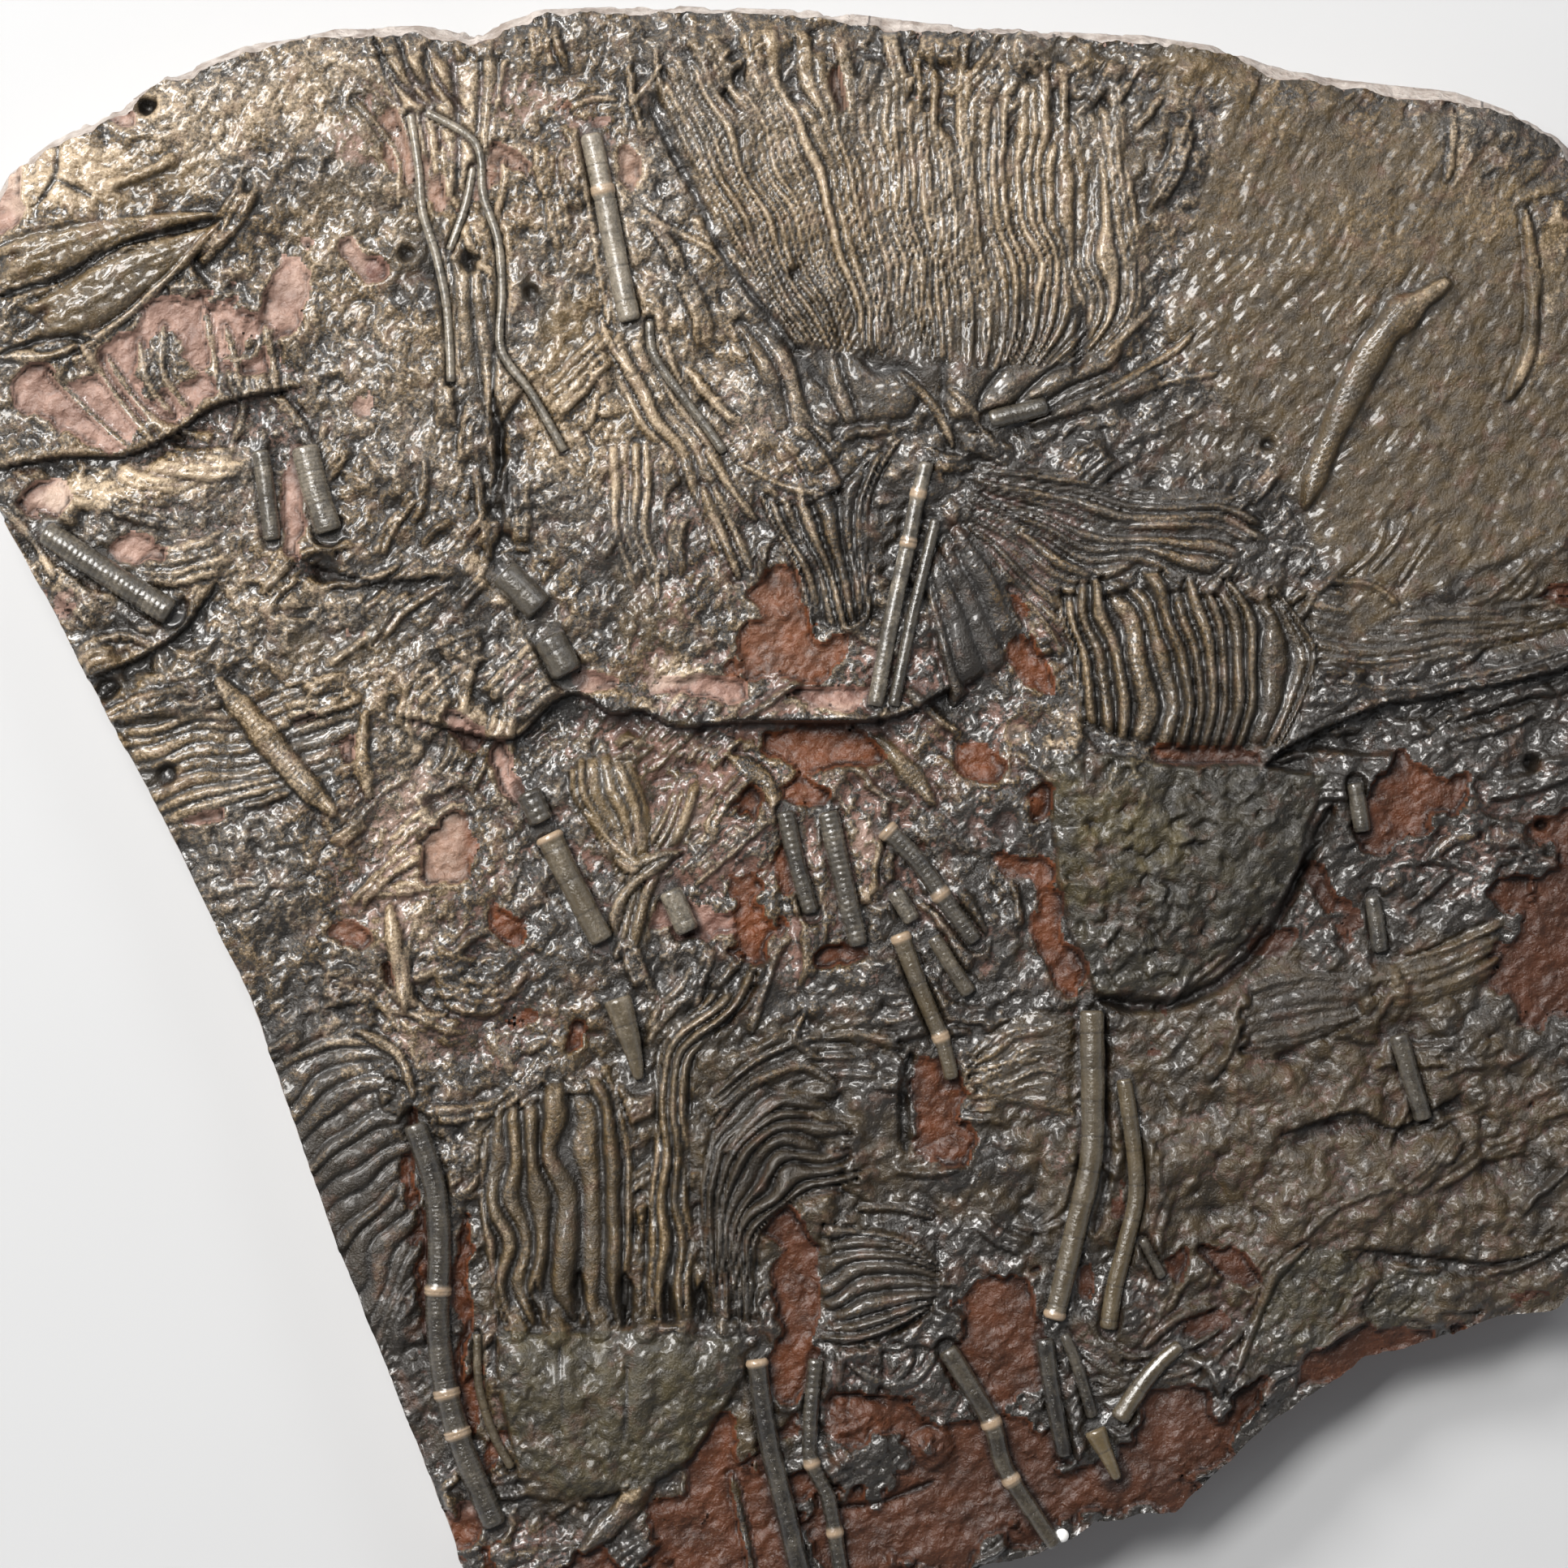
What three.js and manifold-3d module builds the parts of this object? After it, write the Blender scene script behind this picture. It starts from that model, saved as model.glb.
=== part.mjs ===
// A slab of siltstone crowded with crinoids (sea lilies): crowns of arms, cups and stems
// lying on the bedding plane. Millimetres, +Z up, origin at the middle of the flat underside.
import * as THREE from "three";
import { mergeVertices } from "three/addons/utils/BufferGeometryUtils.js";
import Module from "manifold-3d";

// ---- driving dimensions, mm
const BED_TOP = 26; // bedding plane that the crinoids lie on
const GAP = 0.3; // clearance between neighbouring pieces
const SWELL = 0.45; // how far a piece is grown before its neighbour is cut by it
const SLAB_EYE = [10, 20]; // point that the slab's rings shrink towards
const RING_SCALES = [0.985, 0.93, 0.82, 0.66, 0.46, 0.24]; // rings of the bedding plane
const BED_DIP = 1.2; // the bedding plane undulates down by this much
const RIM_DROP = 2.5; // the broken rim lies this far below the bedding plane
const STEM_SIDES = 8;
const ARM_SIDES = 6;
const FINE_RADIUS = 1.7; // thinner tubes than this get ARM_SIDES
const FAN_ROWS = 5; // quads along the arms of a crown
const LOW_BREAK = { height: 0.3, foot: 0.6 }; // lower bend of the broken side, as shares
const HIGH_BREAK = { height: 0.62, top: 0.35, foot: 0.2 }; // upper bend of the broken side
const DOME_RINGS = [1, 0.86, 0.6, 0.3]; // rings of a cup, from its rim to its crest
const DOME_WALL = 0.35; // share of a cup's rise that its upright wall takes
const GROOVE_HEIGHT = 0.68; // grooves between arms, as a share of the crown's rise
const BORDER_HEIGHT = 0.45; // edge of a crown, as a share of its rise
const WELD = 1e-4; // vertices closer than this are one

// ---- finishes
const finish = (color, roughness) => new THREE.MeshStandardMaterial({ color, roughness, metalness: 0 });
const siltstone = finish(0x7d4638, 0.7);
const calcite = finish(0x554d40, 0.45);
const stemCalcite = finish(0x6a6557, 0.4);
const cupCalcite = finish(0x4d4a38, 0.5);

// ---- outline of the slab, clockwise from the west tip, in four edges
const northEdge = [
  [-220, 122], [-217, 150], [-210, 163], [-199, 171], [-180, 181], [-171, 187], [-150, 195],
  [-130, 199], [-108, 200], [-95, 198], [-78, 204], [-45, 204.8], [-5, 203.5], [20, 200.5],
  [50, 198.5], [72, 197.5], [92, 194.5], [104, 190], [122, 186.5], [150, 183.5], [165, 178],
  [176, 172], [190, 158],
];
const eastEdge = [
  [204, 136], [213, 112], [218, 88], [220, 62], [218, 32], [212, 2], [205, -30], [198, -62],
  [190, -95], [183, -113],
];
const southEdge = [
  [176, -119], [160, -121], [143, -127.5], [127, -131], [120, -136.5], [103.5, -147],
  [91.4, -158.7], [84, -165], [80, -169], [60, -171.7], [54.6, -176], [42, -180.5], [8, -189],
  [-35, -197], [-75, -204], [-88, -204.8],
];
const sawnEdge = [
  [-98, -180], [-110, -149], [-130, -99], [-150, -42], [-164, -13], [-175, 9], [-187, 31],
  [-200, 56], [-210, 74], [-217, 92],
];
// How far the top and the foot of each side stand in from the outline.
const edges = [
  { points: northEdge, top: 4.5, foot: 0 },
  { points: eastEdge, top: 2, foot: 0 },
  { points: southEdge, top: 0, foot: 5 },
  { points: sawnEdge, top: 1.2, foot: 0 },
];

// ---- cups: outline and height of the dome
const cups = {
  calyx_cone: {
    rise: 8,
    rim: [
      [48, 17], [62, 18], [80, 16], [98, 16], [117, 13], [112, -2], [106, -16], [97, -28],
      [84, -36], [72, -41], [60, -41], [55, -28], [50, -12],
    ],
  },
  calyx_south_west: {
    rise: 8,
    rim: [
      [-88, -124], [-70, -124], [-50, -124], [-27, -126], [-30, -141], [-39, -156], [-52, -163],
      [-70, -166], [-83, -157], [-87, -141],
    ],
  },
  plate_south_east: {
    rise: 3.5,
    rim: [
      [111, -104], [122, -104], [127, -110], [122, -119], [117, -128], [108, -132], [96, -133],
      [101, -117], [104, -110],
    ],
  },
  plate_oval: {
    rise: 3,
    rim: [[125, -119], [129, -112], [137, -109], [147, -111], [143, -118], [135, -124], [128, -124]],
  },
};

// ---- crowns: guide lines from the foot of the arms to their tips, in order across the fan
const fans = {
  crown_north: {
    arms: 26,
    rise: 4.5,
    guides: [
      [[-14, 118], [-26, 138], [-40, 162], [-49, 182], [-50, 194]],
      [[0, 115], [-8, 135], [-18, 160], [-28, 182], [-34, 198]],
      [[14, 114], [11, 135], [6, 158], [4, 180], [2, 198]],
      [[28, 113], [28, 130], [24, 150], [22, 175], [21, 195]],
      [[42, 113], [48, 128], [45, 150], [43, 175], [44, 193]],
      [[58, 113], [72, 126], [73, 144], [70, 164], [68, 184]],
    ],
  },
  arm_mat_north_east: {
    arms: 14,
    rise: 2.5,
    guides: [
      [[76, 122], [80, 142], [86, 160], [90, 176], [94, 188]],
      [[96, 98], [108, 116], [122, 136], [136, 158], [150, 178]],
      [[112, 72], [132, 88], [154, 106], [178, 124], [200, 136]],
      [[122, 44], [146, 58], [170, 68], [192, 76], [214, 82]],
    ],
  },
  crown_leaf_upper: {
    arms: 6,
    rise: 3,
    guides: [
      [[-156, 152], [-170, 151.5], [-185, 150], [-200, 148], [-213, 144]],
      [[-156, 150.8], [-170, 147.6], [-183, 142.6], [-195, 137], [-213, 132]],
    ],
  },
  crown_leaf_lower: {
    arms: 6,
    rise: 3,
    guides: [
      [[-156, 149], [-170, 145.5], [-183, 140.5], [-195, 134.5], [-206, 128]],
      [[-157, 146], [-165, 138], [-176, 130], [-186, 123], [-200, 119]],
    ],
  },
  crown_south_west: {
    arms: 10,
    rise: 5,
    guides: [
      [[-87, -123], [-90, -108], [-92, -92], [-92, -80], [-89, -70]],
      [[-74, -123], [-75, -106], [-76, -88], [-78, -74], [-80, -62]],
      [[-54, -123], [-54, -105], [-53, -88], [-55, -72], [-60, -58]],
    ],
  },
  crown_wavy: {
    arms: 6,
    rise: 5,
    guides: [
      [[-52, -122], [-51, -98], [-49, -80], [-49, -60], [-46, -51], [-37, -43], [-33, -34]],
      [[-38, -122], [-39, -98], [-40, -80], [-39, -60], [-34, -52], [-26, -44], [-21, -34]],
    ],
  },
  crown_swirl: {
    arms: 8,
    rise: 5,
    guides: [
      [[-36, -122], [-37, -100], [-37, -86], [-34, -73], [-26, -63], [-13, -62]],
      [[-29, -122], [-30, -104], [-28, -92], [-21, -82], [-12, -77], [2, -77]],
      [[-23, -122], [-24, -109], [-22, -100], [-16, -94], [-9, -91], [2, -89]],
    ],
  },
  crown_lying: {
    arms: 8,
    rise: 5,
    guides: [
      [[20, -105], [12, -100], [2, -98], [-8, -96]],
      [[22, -111], [12, -110], [2, -112], [-9, -112]],
      [[20, -119], [12, -124], [2, -129], [-8, -128]],
    ],
  },
  crown_fan_small: {
    arms: 8,
    rise: 3,
    guides: [
      [[55, -47], [46, -45], [36, -49], [28, -57]],
      [[55, -58], [46, -57], [36, -60], [27, -64]],
      [[55, -72], [46, -70], [37, -69], [29, -70]],
    ],
  },
  crown_harp: {
    arms: 15,
    rise: 5,
    guides: [
      [[56, 26], [55, 36], [54, 44], [51, 52], [50, 62]],
      [[74, 20], [74, 32], [73, 42], [69, 52], [65, 64]],
      [[92, 19], [94, 32], [94, 44], [92, 54], [88, 63]],
      [[106, 20], [112, 32], [115, 42], [112, 50], [104, 60]],
    ],
  },
  crown_east_right: {
    arms: 8,
    rise: 4,
    guides: [
      [[132, -34], [140, -30], [150, -26], [161, -22]],
      [[133, -45], [141, -45], [151, -41], [161, -35]],
    ],
  },
  crown_east_left: {
    arms: 8,
    rise: 3,
    guides: [
      [[125, -35], [114, -35], [104, -36], [95, -40]],
      [[126, -48], [115, -53], [105, -56], [94, -57]],
    ],
  },
  crown_small_west: {
    arms: 6,
    rise: 4,
    guides: [
      [[-58, -12], [-64, -1], [-69, 8], [-70, 17]],
      [[-50, -8], [-49, 2], [-52, 12], [-56, 19]],
    ],
  },
  crown_centre: {
    arms: 8,
    rise: 5,
    guides: [
      [[-24, 84], [-20, 75], [-15, 66], [-12, 56], [-10, 45]],
      [[-10, 80], [-8, 72], [-5, 64], [-2, 55], [1, 45]],
      [[14, 98], [6, 84], [4, 72], [5, 62], [6, 50]],
    ],
  },
  arms_east: {
    arms: 5,
    rise: 4,
    guides: [
      [[17, 64], [19, 53], [22, 41], [25, 30]],
      [[27, 76], [35, 66], [40, 56], [45, 45]],
    ],
  },
};

// ---- stems and single arms: centre line, radius at each end, and the lift above the bedding plane
const tubes = {
  stem_north: { path: [[-64.5, 171], [-61, 155], [-58, 140], [-54.8, 125]], radii: [2.8, 2.8] },
  stem_nw_narrow: { path: [[-146, 93], [-144.5, 83], [-143, 71]], radii: [2.3, 2.4] },
  stem_nw_wide: { path: [[-135, 94], [-132.5, 84], [-129, 73]], radii: [3.6, 3.6] },
  stem_west_ribbed: { path: [[-199, 73], [-184, 63], [-168, 53]], radii: [3.2, 3.6] },
  stem_recess_upper: { path: [[-86, 63], [-77, 54]], radii: [4, 4] },
  stem_recess_lower: { path: [[-75, 47], [-70, 38]], radii: [4, 4] },
  stem_double_main: {
    path: [[18.4, 90], [16, 81], [13.6, 69], [10, 53], [5.6, 30]],
    radii: [1.9, 2.1],
    lift: 2,
  },
  stem_double_side: { path: [[20.6, 76], [18.2, 66], [14.8, 52], [10.2, 30]], radii: [1.4, 1.6], lift: 2 },
  rod_north: { path: [[34, 100.5], [48, 104]], radii: [2.4, 2.4], lift: 1 },
  stem_mid_top: { path: [[10.4, -15.6], [15, -23]], radii: [2.3, 2.3] },
  stem_mid_long: { path: [[11.6, -26], [17, -40], [22.4, -53], [24.6, -62]], radii: [2.4, 1.9] },
  stem_disc: { path: [[8, 0], [16.4, -8.4], [22, -16.6], [30.4, -28]], radii: [2.6, 2.2] },
  stem_mid_short: { path: [[20, -27], [29, -41]], radii: [2, 2.1] },
  stem_mid_ribbed: { path: [[-6, 4], [-2.4, -12], [1.6, -29]], radii: [2.8, 2.6] },
  stem_mid_west: { path: [[-16.4, 4], [-13.6, -9], [-10, -21]], radii: [2.4, 2.2] },
  stem_broad_upper: { path: [[-80, 9], [-76.5, 1.4]], radii: [3.3, 3.3] },
  stem_broad_lower: { path: [[-75, -1.6], [-68.4, -15], [-61.5, -28]], radii: [3.3, 3.1] },
  rod_west: { path: [[-45, -15.4], [-40.4, -25.6]], radii: [3, 3] },
  wedge_plate: { path: [[-58, -42], [-54.5, -53], [-52.5, -62]], radii: [3.8, 1.2] },
  stem_cone: {
    path: [[59, -45], [59.3, -66], [58.8, -82], [55, -99], [52.2, -111], [49.6, -121]],
    radii: [3.1, 2.6],
    lift: 0.6,
  },
  stem_fork_thick: { path: [[47.4, -126], [49.5, -140], [52.4, -155]], radii: [2.4, 2.1] },
  stem_fork_thin: { path: [[52.4, -125], [56, -134], [59.4, -145.4]], radii: [1.4, 1.7] },
  stem_fork_end: { path: [[59.8, -148.4], [61.4, -152], [63.2, -155.6], [65.4, -160.6]], radii: [3, 1.2] },
  stem_olive: {
    path: [[67, -62], [69, -75], [70.2, -90], [67.4, -103], [64.6, -114], [63.2, -123.6]],
    radii: [2, 2.3],
  },
  stem_olive_branch: { path: [[71.6, -101.4], [76.6, -111]], radii: [1.3, 1.5] },
  stem_south_east: {
    path: [[23.4, -128.6], [34, -146], [36.6, -155], [40, -162], [50.2, -177]],
    radii: [2.6, 2.1],
  },
  stem_south_mid: {
    path: [[-9, -131], [-10.4, -154], [-6, -165], [-3.6, -178], [-2.4, -186]],
    radii: [2, 2],
  },
  stem_south_long: {
    path: [[-23.6, -131], [-21, -149], [-17, -166], [-13.4, -181], [-11.6, -189]],
    radii: [2.6, 2.8],
  },
  stem_west_long: {
    path: [
      [-108, -73], [-103, -88], [-101.7, -104], [-102.2, -120], [-100.4, -137], [-95.6, -154],
      [-88, -172],
    ],
    radii: [3, 3.2],
  },
  arm_west_long: { path: [[-92.6, -125], [-92, -138], [-88.4, -150], [-84, -158]], radii: [1.2, 1.2] },
  stem_east_upper: { path: [[124, 11], [126, -1]], radii: [2.2, 2.2] },
  stem_east_middle: { path: [[128.4, -17], [130.4, -30.6]], radii: [2, 2.2] },
  stem_east_lower: { path: [[134.6, -51], [141, -72]], radii: [2.4, 2.4] },
  ridge_north_east: {
    path: [[114.6, 86], [120, 101], [128, 116], [137, 128], [146, 133]],
    radii: [1.8, 1.4],
    lift: 1.6,
  },
  arm_fork_left: {
    path: [[-109, 176], [-107, 163], [-106, 152], [-102.6, 141], [-100, 128], [-99, 110]],
    radii: [1.1, 1.2],
  },
  arm_fork_middle: { path: [[-93.6, 163], [-95.6, 153], [-99.4, 142.6]], radii: [1, 1.1] },
  arm_fork_right: {
    path: [
      [-105, 176.6], [-93, 169], [-91, 156], [-87.4, 145], [-86.4, 132], [-86.6, 118], [-79, 107],
      [-71, 93],
    ],
    radii: [1.1, 1.2],
  },
  arm_diagonal: { path: [[-50, 125], [-49, 117], [-43, 108], [-36, 99], [-31.6, 92.6]], radii: [1.2, 1.3] },
  arm_claw: { path: [[65.8, -146], [71, -138], [76, -132], [81, -127.6]], radii: [2.6, 1.8] },
};

// ---- library
const wasm = await Module();
wasm.setup();

function meshData(positions, indices) {
  const geometry = new THREE.BufferGeometry();
  geometry.setAttribute("position", new THREE.Float32BufferAttribute(positions, 3));
  geometry.setIndex(indices);
  return geometry;
}

function toSolid(geometry) {
  const merged = mergeVertices(geometry, WELD);
  const mesh = new wasm.Mesh({
    numProp: 3,
    vertProperties: new Float32Array(merged.attributes.position.array),
    triVerts: new Uint32Array(merged.index.array),
  });
  return new wasm.Manifold(mesh);
}

function toGeometry(solid) {
  const mesh = solid.getMesh();
  return meshData(Array.from(mesh.vertProperties), Array.from(mesh.triVerts));
}

// The same closed surface moved outwards along its vertex normals.
function grown(geometry) {
  const merged = mergeVertices(geometry, WELD);
  merged.computeVertexNormals();
  const place = merged.attributes.position;
  const normal = merged.attributes.normal;
  for (let i = 0; i < place.count; i += 1) {
    place.setXYZ(
      i,
      place.getX(i) + normal.getX(i) * SWELL,
      place.getY(i) + normal.getY(i) * SWELL,
      place.getZ(i) + normal.getZ(i) * SWELL,
    );
  }
  merged.deleteAttribute("normal");
  return toSolid(merged);
}

const xy = ([x, y]) => new THREE.Vector2(x, y);
const splineOf = (points) => new THREE.SplineCurve(points.map(xy));

// Small repeatable undulation of the bedding plane, 0 to 1.
function undulation(x, y) {
  const swell = Math.sin(x * 0.043 + 1.3) * Math.cos(y * 0.037 - 0.6);
  const ripple = Math.sin(x * 0.16 + y * 0.11) * Math.cos(y * 0.19 - x * 0.07);
  return 0.5 + 0.35 * swell + 0.15 * ripple;
}

const isClockwise = (points) => THREE.ShapeUtils.isClockWise(points.map(xy));
const counterclockwise = (points) => (isClockwise(points) ? [...points].reverse() : points);

// Side faces between a loop of vertices and the loop above it, both counterclockwise.
function wall(indices, lower, upper) {
  lower.forEach((a, i) => {
    const next = (i + 1) % lower.length;
    indices.push(a, lower[next], upper[next], a, upper[next], upper[i]);
  });
}

// The flat underside of a counterclockwise loop: a fan of triangles about its middle, facing down.
function underside(indices, loop, middle) {
  loop.forEach((a, i) => indices.push(middle, loop[(i + 1) % loop.length], a));
}

const ringOf = (ring, count) => Array.from({ length: count }, (_, i) => ring * count + i);

// ---- the slab: levels of broken side, rings of the bedding plane, flat underside
function slabGeometry() {
  const outline = edges
    .flatMap(({ points, top, foot }) => points.map(([x, y]) => ({ x, y, top, foot })))
    .reverse();
  const count = outline.length;
  const [eyeX, eyeY] = SLAB_EYE;
  const positions = [];
  const indices = [];
  const inset = ({ x, y }, distance) => {
    const scale = 1 - distance / Math.hypot(x - eyeX, y - eyeY);
    return [eyeX + (x - eyeX) * scale, eyeY + (y - eyeY) * scale];
  };
  const levels = [
    { z: 0, stand: (p) => p.foot },
    { z: BED_TOP * LOW_BREAK.height, stand: (p) => p.foot * LOW_BREAK.foot },
    { z: BED_TOP * HIGH_BREAK.height, stand: (p) => p.top * HIGH_BREAK.top + p.foot * HIGH_BREAK.foot },
    { z: BED_TOP - RIM_DROP, stand: (p) => p.top },
  ];
  levels.forEach(({ z, stand }) => {
    outline.forEach((point) => positions.push(...inset(point, stand(point)), z));
  });
  RING_SCALES.forEach((scale) => {
    outline.forEach((point) => {
      const [x, y] = inset(point, point.top);
      const ringX = eyeX + (x - eyeX) * scale;
      const ringY = eyeY + (y - eyeY) * scale;
      positions.push(ringX, ringY, BED_TOP - BED_DIP * undulation(ringX, ringY));
    });
  });
  const rings = levels.length + RING_SCALES.length;
  for (let ring = 0; ring + 1 < rings; ring += 1) wall(indices, ringOf(ring, count), ringOf(ring + 1, count));
  const middle = positions.length / 3;
  positions.push(eyeX, eyeY, BED_TOP - BED_DIP * undulation(eyeX, eyeY));
  const innermost = ringOf(rings - 1, count);
  innermost.forEach((a, i) => indices.push(a, innermost[(i + 1) % count], middle));
  positions.push(eyeX, eyeY, 0);
  underside(indices, ringOf(0, count), middle + 1);
  return meshData(positions, indices);
}

// ---- a cup: rings from the rim up to the crest of a dome
function cupGeometry({ rim, rise }) {
  const outline = counterclockwise(rim);
  const foot = BED_TOP + GAP;
  const count = outline.length;
  const centreX = outline.reduce((sum, [x]) => sum + x, 0) / count;
  const centreY = outline.reduce((sum, [, y]) => sum + y, 0) / count;
  const positions = [];
  const indices = [];
  outline.forEach(([x, y]) => positions.push(x, y, foot));
  DOME_RINGS.forEach((scale) => {
    const height = rise * (DOME_WALL + (1 - DOME_WALL) * Math.sqrt(1 - scale * scale));
    outline.forEach(([x, y]) => {
      positions.push(centreX + (x - centreX) * scale, centreY + (y - centreY) * scale, foot + height);
    });
  });
  for (let ring = 0; ring < DOME_RINGS.length; ring += 1) {
    wall(indices, ringOf(ring, count), ringOf(ring + 1, count));
  }
  const crest = positions.length / 3;
  positions.push(centreX, centreY, foot + rise);
  const innermost = ringOf(DOME_RINGS.length, count);
  innermost.forEach((a, i) => indices.push(a, innermost[(i + 1) % count], crest));
  positions.push(centreX, centreY, foot);
  underside(indices, ringOf(0, count), crest + 1);
  return meshData(positions, indices);
}

// The flat underside of a crown: one quad for each row, with its two ends fanned out to every arm.
// The foundation runs along the feet, up the last guide, back along the tips, down the first guide.
function fanUnderside(indices, foundation, arms) {
  const feet = foundation.slice(0, arms + 1);
  const right = foundation.slice(arms, arms + FAN_ROWS + 1);
  const tips = foundation.slice(arms + FAN_ROWS, 2 * arms + FAN_ROWS + 1);
  const left = [foundation[0], ...foundation.slice(2 * arms + FAN_ROWS).reverse()];
  const half = Math.floor(arms / 2);
  const endFan = (row, nearEnd, farEnd) => {
    for (let i = 0; i < arms; i += 1) indices.push(row[i + 1], row[i], i < half ? nearEnd : farEnd);
    indices.push(row[half], nearEnd, farEnd);
  };
  endFan(feet, left[1], right[1]);
  endFan(tips, right[FAN_ROWS - 1], left[FAN_ROWS - 1]);
  for (let row = 1; row + 1 < FAN_ROWS; row += 1) {
    indices.push(left[row], right[row + 1], right[row], left[row], left[row + 1], right[row + 1]);
  }
}

// ---- a crown: a sheet of alternating ridges and grooves that follows the guide lines
function fanGeometry({ guides, arms, rise }) {
  const foot = BED_TOP + GAP;
  const corners = [guides[0][0], guides.at(-1)[0], guides.at(-1).at(-1), guides[0].at(-1)];
  const ordered = isClockwise(corners) ? [...guides].reverse() : guides;
  const positions = [];
  const indices = [];
  const width = arms + 1;
  for (let row = 0; row <= FAN_ROWS; row += 1) {
    const across = splineOf(ordered.map((guide) => splineOf(guide).getPoint(row / FAN_ROWS).toArray()));
    for (let column = 0; column <= arms; column += 1) {
      const { x, y } = across.getPoint(column / arms);
      const atBorder = row === 0 || row === FAN_ROWS || column === 0 || column === arms;
      const ridge = column % 2 === 1 ? 1 : GROOVE_HEIGHT;
      positions.push(x, y, foot + rise * (atBorder ? BORDER_HEIGHT : ridge));
    }
  }
  for (let row = 0; row < FAN_ROWS; row += 1) {
    for (let column = 0; column < arms; column += 1) {
      const a = row * width + column;
      indices.push(a, a + 1, a + width, a + 1, a + width + 1, a + width);
    }
  }
  const border = [];
  for (let column = 0; column < arms; column += 1) border.push(column);
  for (let row = 0; row < FAN_ROWS; row += 1) border.push(row * width + arms);
  for (let column = arms; column > 0; column -= 1) border.push(FAN_ROWS * width + column);
  for (let row = FAN_ROWS; row > 0; row -= 1) border.push(row * width);
  const below = positions.length / 3;
  border.forEach((index) => positions.push(positions[3 * index], positions[3 * index + 1], foot));
  const foundation = border.map((_, i) => below + i);
  wall(indices, foundation, border);
  fanUnderside(indices, foundation, arms);
  return meshData(positions, indices);
}

// ---- a stem or a single arm: a round tube along its centre line
function tubeGeometry({ path, radii, lift = 0 }) {
  const [startRadius, endRadius] = radii;
  const sides = Math.max(startRadius, endRadius) > FINE_RADIUS ? STEM_SIDES : ARM_SIDES;
  const curve = splineOf(path);
  const steps = path.length === 2 ? 1 : 2 * (path.length - 1);
  const positions = [];
  const indices = [];
  for (let step = 0; step <= steps; step += 1) {
    const t = step / steps;
    const centre = curve.getPoint(t);
    const along = curve.getTangent(t);
    const radius = startRadius + (endRadius - startRadius) * t;
    const height = BED_TOP + GAP + lift + Math.max(startRadius, endRadius);
    for (let side = 0; side < sides; side += 1) {
      const turn = (2 * Math.PI * (side + 0.5)) / sides;
      const out = radius * Math.cos(turn);
      positions.push(centre.x - along.y * out, centre.y + along.x * out, height + radius * Math.sin(turn));
    }
  }
  for (let step = 0; step < steps; step += 1) {
    for (let side = 0; side < sides; side += 1) {
      const a = step * sides + side;
      const b = step * sides + ((side + 1) % sides);
      indices.push(a, b, a + sides, b, b + sides, a + sides);
    }
  }
  const last = steps * sides;
  for (let side = 1; side + 1 < sides; side += 1) {
    indices.push(0, side + 1, side, last, last + side, last + side + 1);
  }
  return meshData(positions, indices);
}

// ---- the assembly: stems lie on top, then cups, then crowns, each cut clear of those before it
const group = new THREE.Group();
const clearances = [];

function lay(name, geometry, material) {
  let solid = toSolid(geometry);
  clearances.forEach((clearance) => {
    if (solid.intersect(clearance).volume() > 0) solid = solid.subtract(clearance);
  });
  const [largest] = solid.decompose().sort((a, b) => b.volume() - a.volume());
  const mesh = new THREE.Mesh(toGeometry(largest), material);
  mesh.name = name;
  group.add(mesh);
  clearances.push(grown(geometry));
}

const slab = new THREE.Mesh(slabGeometry(), siltstone);
slab.name = "matrix_slab";
group.add(slab);
Object.entries(tubes).forEach(([name, tube]) => lay(name, tubeGeometry(tube), stemCalcite));
Object.entries(cups).forEach(([name, cup]) => lay(name, cupGeometry(cup), cupCalcite));
Object.entries(fans).forEach(([name, fan]) => lay(name, fanGeometry(fan), calcite));

export default group;
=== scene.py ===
"""Looks of the crinoid slab. The whole fossil face is worked out as a relief map in millimetres,
then cut into one mesh for the matrix, one for each crown and cup, and a few for loose debris."""
import math
import bpy
import numpy as np
from mathutils import Matrix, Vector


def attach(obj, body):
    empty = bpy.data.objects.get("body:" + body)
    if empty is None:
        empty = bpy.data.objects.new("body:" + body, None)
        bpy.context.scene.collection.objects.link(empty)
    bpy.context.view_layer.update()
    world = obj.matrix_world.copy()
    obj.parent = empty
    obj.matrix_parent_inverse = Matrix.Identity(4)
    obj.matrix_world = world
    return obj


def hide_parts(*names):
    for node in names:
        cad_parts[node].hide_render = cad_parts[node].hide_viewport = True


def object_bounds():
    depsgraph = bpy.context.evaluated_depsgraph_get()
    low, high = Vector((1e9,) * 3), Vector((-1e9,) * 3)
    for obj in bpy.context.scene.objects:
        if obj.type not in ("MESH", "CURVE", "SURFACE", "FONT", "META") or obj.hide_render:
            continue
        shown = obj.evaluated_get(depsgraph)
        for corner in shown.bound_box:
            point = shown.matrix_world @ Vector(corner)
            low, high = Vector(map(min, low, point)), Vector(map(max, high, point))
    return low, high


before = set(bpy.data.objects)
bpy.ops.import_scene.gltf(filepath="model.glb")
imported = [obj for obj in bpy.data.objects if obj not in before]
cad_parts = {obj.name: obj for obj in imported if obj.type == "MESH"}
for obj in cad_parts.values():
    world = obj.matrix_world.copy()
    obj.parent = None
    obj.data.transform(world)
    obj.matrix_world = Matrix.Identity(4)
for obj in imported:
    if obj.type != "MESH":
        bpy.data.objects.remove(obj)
cad_low, cad_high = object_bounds()

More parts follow.
